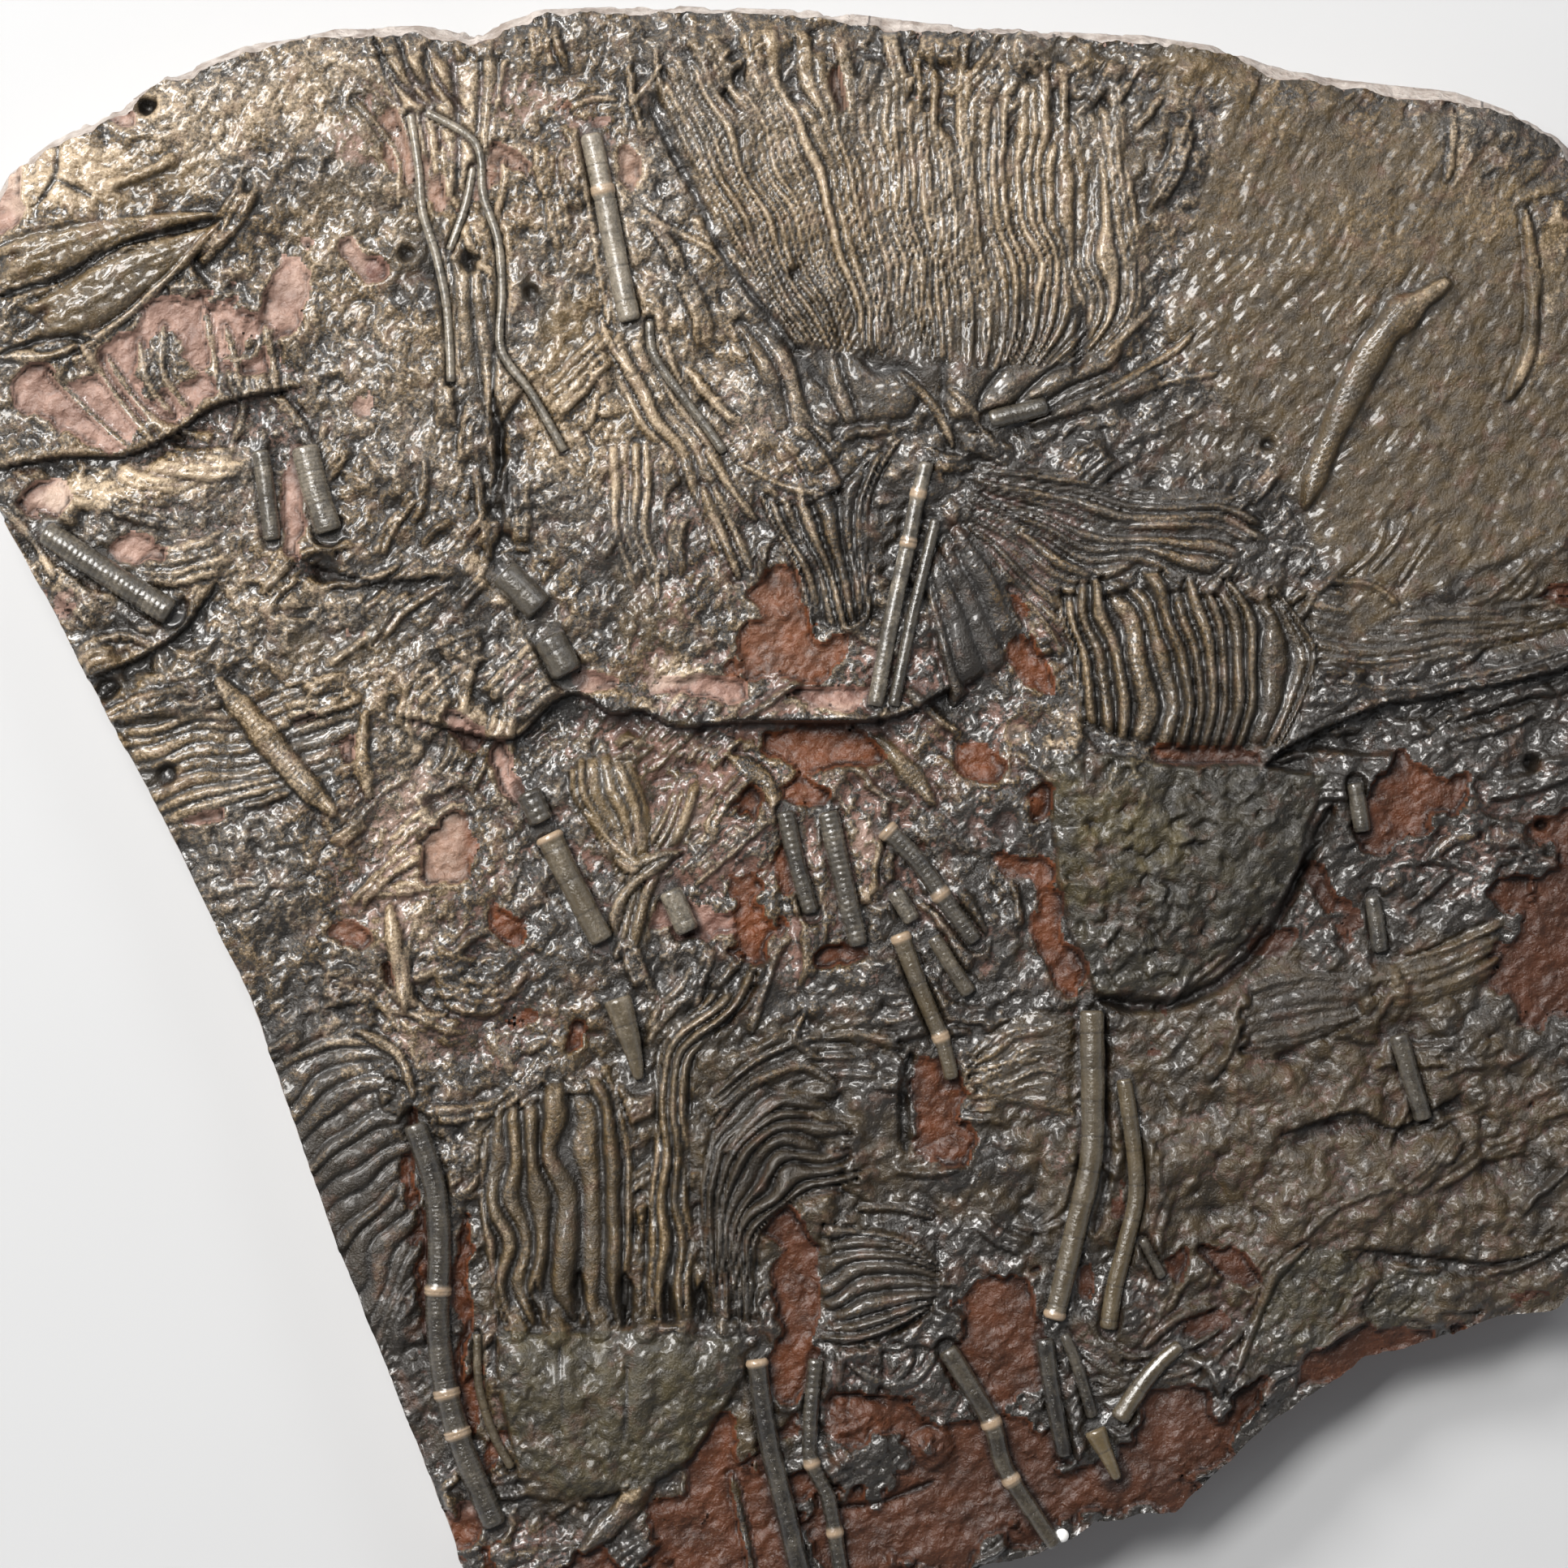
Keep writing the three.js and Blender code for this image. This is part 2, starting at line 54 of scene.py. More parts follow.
# ---- driving sizes, mm
MM = 0.001
STEP = 0.3                       # spacing of the relief map
GRID = 0.69   # spacing of the meshes
BED = 26.3                       # the crinoids lie on this level
WEST, EAST = -222.0, 222.0
SOUTH, NORTH = -207.0, 207.0
DEBRIS = 1.6                     # mean thickness of the loose debris
PAINTED_SHEEN_RISE = 0.20                # painted sheen: the north-west is paler by this much
PAINTED_SHADE_FALL = 0.90                # painted shade: and the south-east darker by this much
TUCK = 0.4                       # the matrix runs this far below what covers it
SKIRT = 3.0                      # sheets of fossil turn down this far at their edges
COARSE = 4                       # hidden matrix cells are this many cells wide
SIDE_LEVELS = 10                 # rows of cells down the sides of the matrix

# ---- camera and light
EYE_X, EYE_Y = -16.8, 10.8       # middle of the view
VIEW_WIDTH = 386.4
CAMERA_RISE = 1.15               # metres above the fossil face
FACE_SHARE = 0.85                # the face lies at this share of the CAD height
SENSOR = 36                      # width of the camera's sensor

# ---- outline of the slab, clockwise from the west tip, in four edges
NORTH_EDGE = [
    (-220, 122), (-217, 150), (-210, 163), (-199, 171), (-180, 181), (-171, 187), (-150, 195),
    (-130, 199), (-108, 200), (-95, 198), (-78, 204), (-45, 204.8), (-5, 203.5), (20, 200.5),
    (50, 198.5), (72, 197.5), (92, 194.5), (104, 190), (122, 186.5), (150, 183.5), (165, 178),
    (176, 172), (190, 158)]
EAST_EDGE = [
    (204, 136), (213, 112), (218, 88), (220, 62), (218, 32), (212, 2), (205, -30), (198, -62),
    (190, -95), (183, -113)]
SOUTH_EDGE = [
    (176, -119), (160, -121), (143, -127.5), (127, -131), (120, -136.5), (103.5, -147),
    (91.4, -158.7), (84, -165), (80, -169), (60, -171.7), (54.6, -176), (42, -180.5), (8, -189),
    (-35, -197), (-75, -204), (-88, -204.8)]
SAWN_EDGE = [
    (-98, -180), (-110, -149), (-130, -99), (-150, -42), (-164, -13), (-175, 9), (-187, 31),
    (-200, 56), (-210, 74), (-217, 92)]
# how far the rim of the fossil face stands in from the outline, and how rough the break is
EDGES = [(NORTH_EDGE, 3.6, 1.5), (EAST_EDGE, 2.0, 1.2), (SOUTH_EDGE, 0.2, 0.7),
         (SAWN_EDGE, 1.3, 0.12)]

# ---- crowns: guide lines from the foot of the arms to their tips, number of arms, lift of the
# sheet, depth between arms (deep), wander of the arms (waver), shifts towards pale and gold;
# stout = share of its lane that an arm fills, uneven = spread of their widths, ends = spread of
# their tips, soft = width of the sheet's soft edge, fading = how far the arms sink towards the tips,
# beads = depth of the joints along an arm, paired = arms lean together in twos at the foot
FANS = {
    "crown_north": dict(
        arms=52, lift=2.0, deep=2.3, stout=0.86, waver=0.7, pale=0.2, gold=0.35, soft=5, fading=0.88,
        ends=0.3, beads=0.03,
        guides=[
            [(-14, 118), (-26, 138), (-40, 162), (-49, 182), (-50, 194)],
            [(0, 115), (-8, 135), (-18, 160), (-28, 182), (-34, 198)],
            [(14, 114), (11, 135), (6, 158), (4, 180), (2, 198)],
            [(28, 113), (28, 130), (24, 150), (22, 175), (21, 195)],
            [(42, 113), (48, 128), (45, 150), (43, 175), (44, 193)],
            [(58, 113), (72, 126), (73, 144), (70, 164), (68, 184)]]),
    "arm_mat_north_east": dict(
        arms=70, lift=0.8, deep=0.12, waver=1.2, pale=-0.14, gold=0.6, soft=9, fading=0.5,
        guides=[
            [(76, 122), (80, 142), (86, 160), (90, 176), (94, 188)],
            [(96, 98), (108, 116), (122, 136), (136, 158), (150, 178)],
            [(112, 72), (132, 88), (154, 106), (178, 124), (200, 136)],
            [(122, 44), (146, 58), (170, 68), (192, 76), (214, 82)]]),
    "crown_leaf_upper": dict(
        arms=7, lift=2.2, deep=0.3, waver=0.8, pale=0.15, gold=0.7,
        guides=[
            [(-156, 152), (-170, 151.5), (-185, 150), (-200, 148), (-213, 144)],
            [(-156, 150.8), (-170, 147.6), (-183, 142.6), (-195, 137), (-213, 132)]]),
    "crown_leaf_lower": dict(
        arms=7, lift=2.8, deep=0.3, waver=0.8, pale=-0.05, gold=0.7,
        guides=[
            [(-156, 149), (-170, 145.5), (-183, 140.5), (-195, 134.5), (-206, 128)],
            [(-157, 146), (-165, 138), (-176, 130), (-186, 123), (-200, 119)]]),
    "crown_south_west": dict(
        arms=8, lift=2.4, deep=2.8, waver=0.5, pale=-0.06, gold=0.5, paired=1, stout=0.74, uneven=0.25,
        guides=[
            [(-87, -123), (-90, -108), (-92, -92), (-92, -80), (-89, -70)],
            [(-74, -123), (-75, -106), (-76, -88), (-78, -74), (-80, -62)],
            [(-54, -123), (-54, -105), (-53, -88), (-55, -72), (-60, -58)]]),
    "crown_wavy": dict(
        arms=4, lift=3.0, deep=2.8, waver=0.4, pale=0.08, gold=0.5, paired=1, stout=0.78, uneven=0.2,
        guides=[
            [(-52, -122), (-51, -98), (-49, -80), (-49, -60), (-46, -51), (-37, -43), (-33, -34)],
            [(-38, -122), (-39, -98), (-40, -80), (-39, -60), (-34, -52), (-26, -44), (-21, -34)]]),
    "crown_swirl": dict(
        arms=9, lift=2.6, deep=2.8, waver=0.6, pale=-0.26, gold=0.15, stout=0.78,
        guides=[
            [(-36, -122), (-37, -100), (-37, -86), (-34, -73), (-26, -63), (-13, -62)],
            [(-29, -122), (-30, -104), (-28, -92), (-21, -82), (-12, -77), (2, -77)],
            [(-23, -122), (-24, -109), (-22, -100), (-16, -94), (-9, -91), (2, -89)]]),
    "crown_lying": dict(
        arms=10, lift=2.4, deep=2.4, waver=0.8, pale=-0.1, gold=0.2, stout=0.8,
        guides=[
            [(20, -105), (12, -100), (2, -98), (-8, -96)],
            [(22, -111), (12, -110), (2, -112), (-9, -112)],
            [(20, -119), (12, -124), (2, -129), (-8, -128)]]),
    "crown_fan_small": dict(
        arms=16, lift=1.8, deep=0.8, waver=1.2, pale=0.08, gold=0.35,
        guides=[
            [(55, -47), (46, -45), (36, -49), (28, -57)],
            [(55, -58), (46, -57), (36, -60), (27, -64)],
            [(55, -72), (46, -70), (37, -69), (29, -70)]]),
    "crown_harp": dict(
        arms=15, lift=2.2, deep=3.0, waver=0.35, pale=0.05, gold=0.3, stout=0.74,
        guides=[
            [(56, 26), (55, 36), (54, 44), (51, 52), (50, 62)],
            [(74, 20), (74, 32), (73, 42), (69, 52), (65, 64)],
            [(92, 19), (94, 32), (94, 44), (92, 54), (88, 63)],
            [(106, 20), (112, 32), (115, 42), (112, 50), (104, 60)]]),
    "crown_east_right": dict(
        arms=10, lift=2.0, deep=0.7, waver=0.5, pale=0.05, gold=0.6,
        guides=[
            [(132, -34), (140, -30), (150, -26), (161, -22)],
            [(133, -45), (141, -45), (151, -41), (161, -35)]]),
    "crown_east_left": dict(
        arms=9, lift=1.4, deep=0.8, waver=0.6, pale=-0.15, gold=0.1,
        guides=[
            [(125, -35), (114, -35), (104, -36), (95, -40)],
            [(126, -48), (115, -53), (105, -56), (94, -57)]]),
    "crown_small_west": dict(
        arms=6, lift=2.2, deep=1.3, waver=0.3, pale=0.2, gold=0.8,
        guides=[
            [(-58, -12), (-64, -1), (-69, 8), (-70, 17)],
            [(-50, -8), (-49, 2), (-52, 12), (-56, 19)]]),
    "crown_centre": dict(
        arms=8, lift=2.2, deep=2.8, waver=0.3, pale=-0.05, gold=0.0, stout=0.76,
        guides=[
            [(-24, 84), (-20, 75), (-15, 66), (-12, 56), (-10, 45)],
            [(-10, 80), (-8, 72), (-5, 64), (-2, 55), (1, 45)],
            [(14, 98), (6, 84), (4, 72), (5, 62), (6, 50)]]),
    "arms_east": dict(
        arms=5, lift=1.6, deep=1.8, waver=0.2, pale=-0.2, gold=0.0,
        guides=[
            [(17, 64), (19, 53), (22, 41), (25, 30)],
            [(27, 76), (35, 66), (40, 56), (45, 45)]]),
}

# ---- groups of arms that belong to the loose debris
LOOSE_FANS = {
    "hand": dict(
        arms=7, lift=1.4, deep=2.0, waver=0.3, pale=0.3, gold=0.1, ends=0.3,
        guides=[
            [(-121, 192), (-114, 178), (-109, 164), (-106, 150)],
            [(-102, 190), (-100, 176), (-99, 164), (-99, 150)],
            [(-84, 190), (-87, 176), (-89, 164), (-93, 150)]]),
    "hand_root": dict(
        arms=4, lift=1.2, deep=1.6, waver=0.3, pale=0.25, gold=0.2, ends=0.3,
        guides=[
            [(-104, 150), (-101, 134), (-99, 120), (-98, 100)],
            [(-92, 150), (-88, 134), (-86, 118), (-84, 98)]]),
    "stem_side_arms": dict(
        arms=6, lift=1.2, deep=1.6, waver=0.3, pale=0.2, gold=0.2, ends=0.3,
        guides=[
            [(-62, 118), (-54, 100), (-44, 88), (-36, 66)],
            [(-44, 124), (-38, 106), (-28, 90), (-20, 62)]]),
    "north_east_of_centre": dict(
        arms=15, lift=1.6, deep=1.9, waver=0.4, pale=-0.1, gold=0.1, ends=0.3,
        guides=[
            [(30, 90), (50, 88), (72, 84), (96, 82), (112, 72)],
            [(28, 82), (44, 76), (60, 70), (80, 70), (96, 64)],
            [(26, 74), (34, 66), (42, 56), (48, 46), (52, 34)]]),
    "north_root": dict(
        arms=12, lift=1.8, deep=2.0, waver=0.4, pale=-0.15, gold=0.1, ends=0.4,
        guides=[
            [(-20, 96), (-22, 108), (-26, 118), (-32, 128)],
            [(4, 100), (0, 110), (-6, 120), (-12, 132)],
            [(36, 100), (44, 110), (52, 118), (58, 130)],
            [(44, 98), (60, 102), (76, 108), (88, 120)]]),
    "west_of_centre": dict(
        arms=7, lift=1.0, deep=1.5, waver=0.4, pale=0.15, gold=0.1, ends=0.4,
        guides=[
            [(-62, 96), (-62, 80), (-58, 62), (-54, 44)],
            [(-46, 96), (-45, 80), (-44, 62), (-42, 44)]]),
    "east_flow": dict(
        arms=9, lift=1.2, deep=1.2, waver=0.4, pale=0.0, gold=0.25, ends=0.4,
        guides=[
            [(112, 62), (130, 58), (152, 56), (180, 58), (204, 66)],
            [(112, 40), (130, 38), (152, 42), (180, 48), (206, 50)]]),
    "small_west_arms": dict(
        arms=5, lift=1.4, deep=1.7, waver=0.3, pale=0.1, gold=0.5, ends=0.3,
        guides=[
            [(-62, -28), (-58, -12), (-50, 2), (-44, 18)],
            [(-50, -30), (-46, -16), (-38, -2), (-34, 14)]]),
    "swirl_north": dict(
        arms=7, lift=1.6, deep=1.7, waver=0.3, pale=0.0, gold=0.1, ends=0.3,
        guides=[
            [(-36, -66), (-26, -56), (-12, -50), (4, -50), (14, -52)],
            [(-34, -76), (-22, -68), (-10, -64), (2, -64), (10, -66)]]),
    "south_west_rows": dict(
        arms=16, lift=0.9, deep=1.3, waver=0.5, pale=-0.15, gold=0.1, ends=0.3,
        guides=[
            [(-146, -58), (-134, -52), (-120, -50), (-108, -54)],
            [(-132, -92), (-124, -84), (-116, -78), (-107, -76)],
            [(-116, -132), (-112, -120), (-108, -110), (-105, -104)]]),
    "west_rows": dict(
        arms=9, lift=0.7, deep=1.2, waver=0.5, pale=0.15, gold=0.2, ends=0.4,
        guides=[
            [(-184, 26), (-160, 30), (-138, 36), (-110, 44)],
            [(-170, 0), (-146, 6), (-124, 14), (-100, 22)]]),
    "south_arms": dict(
        arms=8, lift=1.0, deep=1.4, waver=0.5, pale=0.0, gold=0.2, ends=0.3,
        guides=[
            [(56, -122), (68, -128), (82, -126), (94, -120)],
            [(62, -142), (72, -140), (84, -138), (92, -132)]]),
}

# ---- cups: rim, rise of the dome, size of a grain, how many furrows run up from the foot, and how
# deep the crumpled facets are
CUPS = {
    "calyx_cone": dict(
        rise=6.0, grain=1.9, foot=(60, -41), furrows=9, gold=0.35, facets=1.9,
        rim=[(48, 17), (62, 18), (80, 16), (98, 16), (117, 13), (112, -2), (106, -16), (97, -28),
             (84, -36), (72, -41), (60, -41), (55, -28), (50, -12)]),
    "calyx_south_west": dict(
        rise=6.5, grain=1.6, foot=(-60, -178), furrows=11, gold=0.4,
        rim=[(-88, -124), (-70, -124), (-50, -124), (-27, -126), (-30, -141), (-39, -156),
             (-52, -163), (-70, -166), (-83, -157), (-87, -141)]),
    "plate_south_east": dict(
        rise=2.6, grain=1.4, foot=(96, -133), furrows=7, gold=0.4,
        rim=[(111, -104), (122, -104), (127, -110), (122, -119), (117, -128), (108, -132),
             (96, -133), (101, -117), (104, -110)]),
    "plate_oval": dict(
        rise=2.4, grain=1.0, foot=(112, -130), furrows=5, gold=0.1,
        rim=[(125, -119), (129, -112), (137, -109), (147, -111), (143, -118), (135, -124), (128, -124)]),
}

# ---- stems and single arms: centre line, radius at each end, then finish:
# rings = thickness of the discs where they stand out, knots = places of swollen pale joints, 0 to 1
# lift = height above the bedding, sink = depth below it, pale and gold = shifts of its colour
PLAIN_RINGS = 1.15               # thickness of the discs of a plain stem
JOINT_SPACING = 8.5              # a shallow joint crosses a stem about this often
BURIED = 2                       # stems sunk deeper than this leave the relief round them alone
STEMS = {
    "stem_north": dict(
        path=[(-64.5, 171), (-61, 155), (-58, 140), (-54.8, 125)],
        radii=(2.8, 2.8), pale=0.55, knots=[0.3]),
    "stem_nw_narrow": dict(
        path=[(-146, 93), (-144.5, 83), (-143, 71)],
        radii=(2.3, 2.4), rings=0.9, pale=0.2),
    "stem_nw_wide": dict(
        path=[(-135, 94), (-132.5, 84), (-129, 73)],
        radii=(3.6, 3.6), rings=0.8, pale=0.45),
    "stem_west_ribbed": dict(
        path=[(-199, 73), (-184, 63), (-168, 53)],
        radii=(3.2, 3.6), rings=1.5, pale=0.2),
    "stem_recess_upper": dict(
        path=[(-86, 63), (-77, 54)],
        radii=(4, 4), sink=1.4),
    "stem_recess_lower": dict(
        path=[(-75, 47), (-70, 38)],
        radii=(4, 4), sink=1.4),
    "stem_double_main": dict(
        path=[(18.4, 90), (16, 81), (13.6, 69), (10, 53), (5.6, 30)],
        radii=(1.9, 2.1), lift=2, pale=0.25, knots=[0.13, 0.33]),
    "stem_double_side": dict(
        path=[(20.6, 76), (18.2, 66), (14.8, 52), (10.2, 30)],
        radii=(1.4, 1.6), lift=2),
    "rod_north": dict(
        path=[(34, 100.5), (48, 104)],
        radii=(2.4, 2.4), lift=1),
    "stem_mid_top": dict(
        path=[(10.4, -15.6), (15, -23)],
        radii=(2.3, 2.3), pale=0.2),
    "stem_mid_long": dict(
        path=[(11.6, -26), (17, -40), (22.4, -53), (24.6, -62)],
        radii=(2.4, 1.9), gold=0.4, knots=[0.03, 0.72]),
    "stem_disc": dict(
        path=[(8, 0), (16.4, -8.4), (22, -16.6), (30.4, -28)],
        radii=(2.6, 2.2), rings=1.4, knots=[0.03, 0.6]),
    "stem_mid_short": dict(
        path=[(20, -27), (29, -41)],
        radii=(2, 2.1), gold=0.2),
    "stem_mid_ribbed": dict(
        path=[(-6, 4), (-2.4, -12), (1.6, -29)],
        radii=(2.8, 2.6), rings=1.5, pale=0.1),
    "stem_mid_west": dict(
        path=[(-16.4, 4), (-13.6, -9), (-10, -21)],
        radii=(2.4, 2.2), rings=1.6),
    "stem_broad_upper": dict(
        path=[(-80, 9), (-76.5, 1.4)],
        radii=(3.3, 3.3), rings=2.2),
    "stem_broad_lower": dict(
        path=[(-75, -1.6), (-68.4, -15), (-61.5, -28)],
        radii=(3.3, 3.1), gold=0.4, pale=0.2, knots=[0.02]),
    "rod_west": dict(
        path=[(-45, -15.4), (-40.4, -25.6)],
        radii=(3, 3), pale=0.35),
    "wedge_plate": dict(
        path=[(-58, -42), (-54.5, -53), (-52.5, -62)],
        radii=(3.8, 1.2), gold=0.4, pale=0.2),
    "stem_cone": dict(
        path=[(59, -45), (59.3, -66), (58.8, -82), (55, -99), (52.2, -111), (49.6, -121)],
        radii=(3.1, 2.6), lift=0.6, gold=0.35, pale=0.1, knots=[0.99]),
    "stem_fork_thick": dict(
        path=[(47.4, -126), (49.5, -140), (52.4, -155)],
        radii=(2.4, 2.1), pale=-0.25),
    "stem_fork_thin": dict(
        path=[(52.4, -125), (56, -134), (59.4, -145.4)],
        radii=(1.4, 1.7), pale=-0.1),
    "stem_fork_end": dict(
        path=[(59.8, -148.4), (61.4, -152), (63.2, -155.6), (65.4, -160.6)],
        radii=(3, 1.2), gold=0.9, pale=0.2),
    "stem_olive": dict(
        path=[(67, -62), (69, -75), (70.2, -90), (67.4, -103), (64.6, -114), (63.2, -123.6)],
        radii=(2, 2.3), gold=0.5, pale=0.05),
    "stem_olive_branch": dict(
        path=[(71.6, -101.4), (76.6, -111)],
        radii=(1.3, 1.5), pale=-0.1),
    "stem_south_east": dict(
        path=[(23.4, -128.6), (34, -146), (36.6, -155), (40, -162), (50.2, -177)],
        radii=(2.6, 2.1), pale=-0.15, gold=0.1, knots=[0.38, 0.65]),
    "stem_south_mid": dict(
        path=[(-9, -131), (-10.4, -154), (-6, -165), (-3.6, -178), (-2.4, -186)],
        radii=(2, 2), pale=-0.05, rings=1.8, knots=[0.46, 0.78]),
    "stem_south_long": dict(
        path=[(-23.6, -131), (-21, -149), (-17, -166), (-13.4, -181), (-11.6, -189)],
        radii=(2.6, 2.8), pale=-0.2, knots=[0.01]),
    "stem_west_long": dict(
        path=[(-108, -73), (-103, -88), (-101.7, -104), (-102.2, -120), (-100.4, -137),
              (-95.6, -154), (-88, -172)],
        radii=(3, 3.2), rings=0.75, pale=-0.05, knots=[0.41, 0.66, 0.76]),
    "arm_west_long": dict(
        path=[(-92.6, -125), (-92, -138), (-88.4, -150), (-84, -158)],
        radii=(1.2, 1.2), gold=0.4, pale=0.1),
    "stem_east_upper": dict(
        path=[(124, 11), (126, -1)],
        radii=(2.2, 2.2)),
    "stem_east_middle": dict(
        path=[(128.4, -17), (130.4, -30.6)],
        radii=(2, 2.2), pale=-0.1),
    "stem_east_lower": dict(
        path=[(134.6, -51), (141, -72)],
        radii=(2.4, 2.4)),
    "ridge_north_east": dict(
        path=[(114.6, 86), (120, 101), (128, 116), (137, 128), (146, 133)],
        radii=(1.8, 1.4), lift=1.6, sink=2.3, pale=0.3, gold=0.4),
    "arm_fork_left": dict(
        path=[(-109, 176), (-107, 163), (-106, 152), (-102.6, 141), (-100, 128), (-99, 110)],
        radii=(1.1, 1.2), pale=0.5),
    "arm_fork_middle": dict(
        path=[(-93.6, 163), (-95.6, 153), (-99.4, 142.6)],
        radii=(1, 1.1), pale=0.5),
    "arm_fork_right": dict(
        path=[(-105, 176.6), (-93, 169), (-91, 156), (-87.4, 145), (-86.4, 132), (-86.6, 118),
              (-79, 107), (-71, 93)],
        radii=(1.1, 1.2), pale=0.45),
    "arm_diagonal": dict(
        path=[(-50, 125), (-49, 117), (-43, 108), (-36, 99), (-31.6, 92.6)],
        radii=(1.2, 1.3), pale=0.3),
    "arm_claw": dict(
        path=[(65.8, -146), (71, -138), (76, -132), (81, -127.6)],
        radii=(2.6, 1.8), gold=0.4),
}

# ---- soft patches on the face: (x, y, half width, half height, turn in degrees, strength)
BARE_RED = [
    (-115, 187, 5, 3, -40, .8), (-103, 179, 9, 4, -35, .9), (-92, 170, 10, 4, -30, .9),
    (-99, 162, 13, 9, 0, .55), (-112, 168, 3, 9, 8, .6), (5, 194, 7, 8, 0, .45),
    (-3, 183, 3, 7, 10, .6), (14, 186, 2.4, 9, 5, .5), (40, 119, 1.5, 8, 0, 1),
    (-57, 164, 2.6, 6, 15, .7), (-72, 176, 5, 4, 0, .5), (-16, 44, 13, 9, 0, .95),
    (-5, 44, 7, 6, 0, .6), (-18, 57, 5, 6, 0, .8), (-10, 72, 5, 5, 0, .7), (-8, 20, 14, 6, 0, .9),
    (-26, 8, 6, 6, 0, .8), (-17, -11, 3, 11, 0, 1), (-25, -22, 5, 13, 0, .8), (-10, 9, 7, 4, 0, .8),
    (-2, -31, 6, 2.4, 0, .9), (43, 42, 4, 13, 20, .75), (31, 16, 5, 5, 0, .7),
    (37, -10, 8, 3.4, -15, .8), (50, -25, 4.6, 13, 12, .95), (45, 5, 3, 5, 0, .8),
    (22, -70, 6, 12, 8, 1), (84, 18, 12, 3.6, -4, .8), (138, 6, 12, 9, -15, .95),
    (128, 0, 5, 8, 0, .8), (176, -30, 18, 24, 8, 1), (192, -40, 16, 30, 0, .9),
    (176, 57, 14, 3.6, -4, .7), (115, -16, 7, 10, 20, .6), (101, -29, 8, 4, 30, .7),
    (122, -25, 5, 9, 0, .5), (-99, -5, 5.5, 8, 0, .9), (-87, -21, 8, 3, -45, .7),
    (-124, -28, 5, 3, 0, .6), (-116, -35, 2, 4, 20, .6), (-82, -48, 5, 2.4, 0, .5),
    (-68, -52, 2.4, 6, -15, .6), (-107.4, -100, 2.2, 26, 4, .9), (-96.6, -112, 2, 22, 0, .9),
    (-94, -140, 2.2, 14, -12, .9), (-88, -156, 3, 8, -20, .8), (-99, -172, 6, 5, 0, .7),
    (-92, -188, 8, 12, 0, .7), (-15.5, -118, 5.5, 27, 2, 1), (36, -128, 11, 20, 8, 1),
    (36, -158, 14, 14, 0, 1), (6, -146, 14, 7, 0, .9), (16, -172, 28, 14, 10, 1),
    (-30, -180, 22, 20, 15, 1), (-52, -190, 26, 12, 10, .9), (-34, -155, 6, 10, 20, .6),
    (66, -164, 20, 6, 8, 1), (82, -148, 12, 13, -35, 1), (97, -144, 11, 6, 42, 1),
    (118, -134, 12, 4, 33, 1), (137, -126, 16, 2.6, 12, .9), (86, -124, 6, 4, 0, .9),
    (92, -108, 8, 4, -30, .9), (79, -108, 4, 6, 0, .6), (57, -112, 3, 10, 0, .6),
    (118, -80, 5, 6, 0, .5), (110, -70, 6, 3, 0, .4), (166, -118, 8, 3, 5, .5),
    (76, -52, 3, 8, 0, .5), (66, -90, 2.5, 14, 0, .5),
]
BARE_PINK = [
    (-62, 36, 12, 3, -5, .6), (-38, 34, 14, 3.2, -8, .65), (-8, 33, 14, 3, 6, .65),
    (-209, 156, 4, 7, 0, 1), (-181, 176, 6, 2.2, -20, .9), (-189, 104, 14, 9, 0, .9),
    (-203, 108, 6, 7, 0, .8), (-163, 106, 10, 4.4, 18, .9), (-160, 124, 12, 12, 30, .7),
    (-139, 130, 5, 15, 0, .7), (-147, 114, 8, 6, 0, .6), (-178, 118, 12, 5, 25, .6),
    (-138.5, 82, 2.6, 12, 4, 1), (-176, 67, 9, 3.6, -20, .9), (-131, 23, 8, 4.4, -20, .8),
    (-152, 16, 3.4, 7, 20, .8), (-162, 3, 7, 2.6, -10, .7), (-123, 48, 3, 2, 0, .5),
    (-55, 87, 4.4, 2, 10, .9), (-43, -22, 11, 6, 0, .8), (-119, 104, 5, 5, 0, .5),
    (-121, 140, 6, 4, -40, .6), (-62, 174, 6, 3, 0, .5), (-95, 24, 5, 3, -20, .8),
    (-86, 14, 2.6, 8, 20, .7), (-200, 80, 5, 4, 0, .8), (148, -2, 7, 3, 20, .5),
    (-118, 66, 4, 4, 0, .4), (-196, 57, 5, 5, 0, .5), (-66, -140, 1, 1, 0, .1),
    (-98, -168, 6, 3, 20, .6),
]
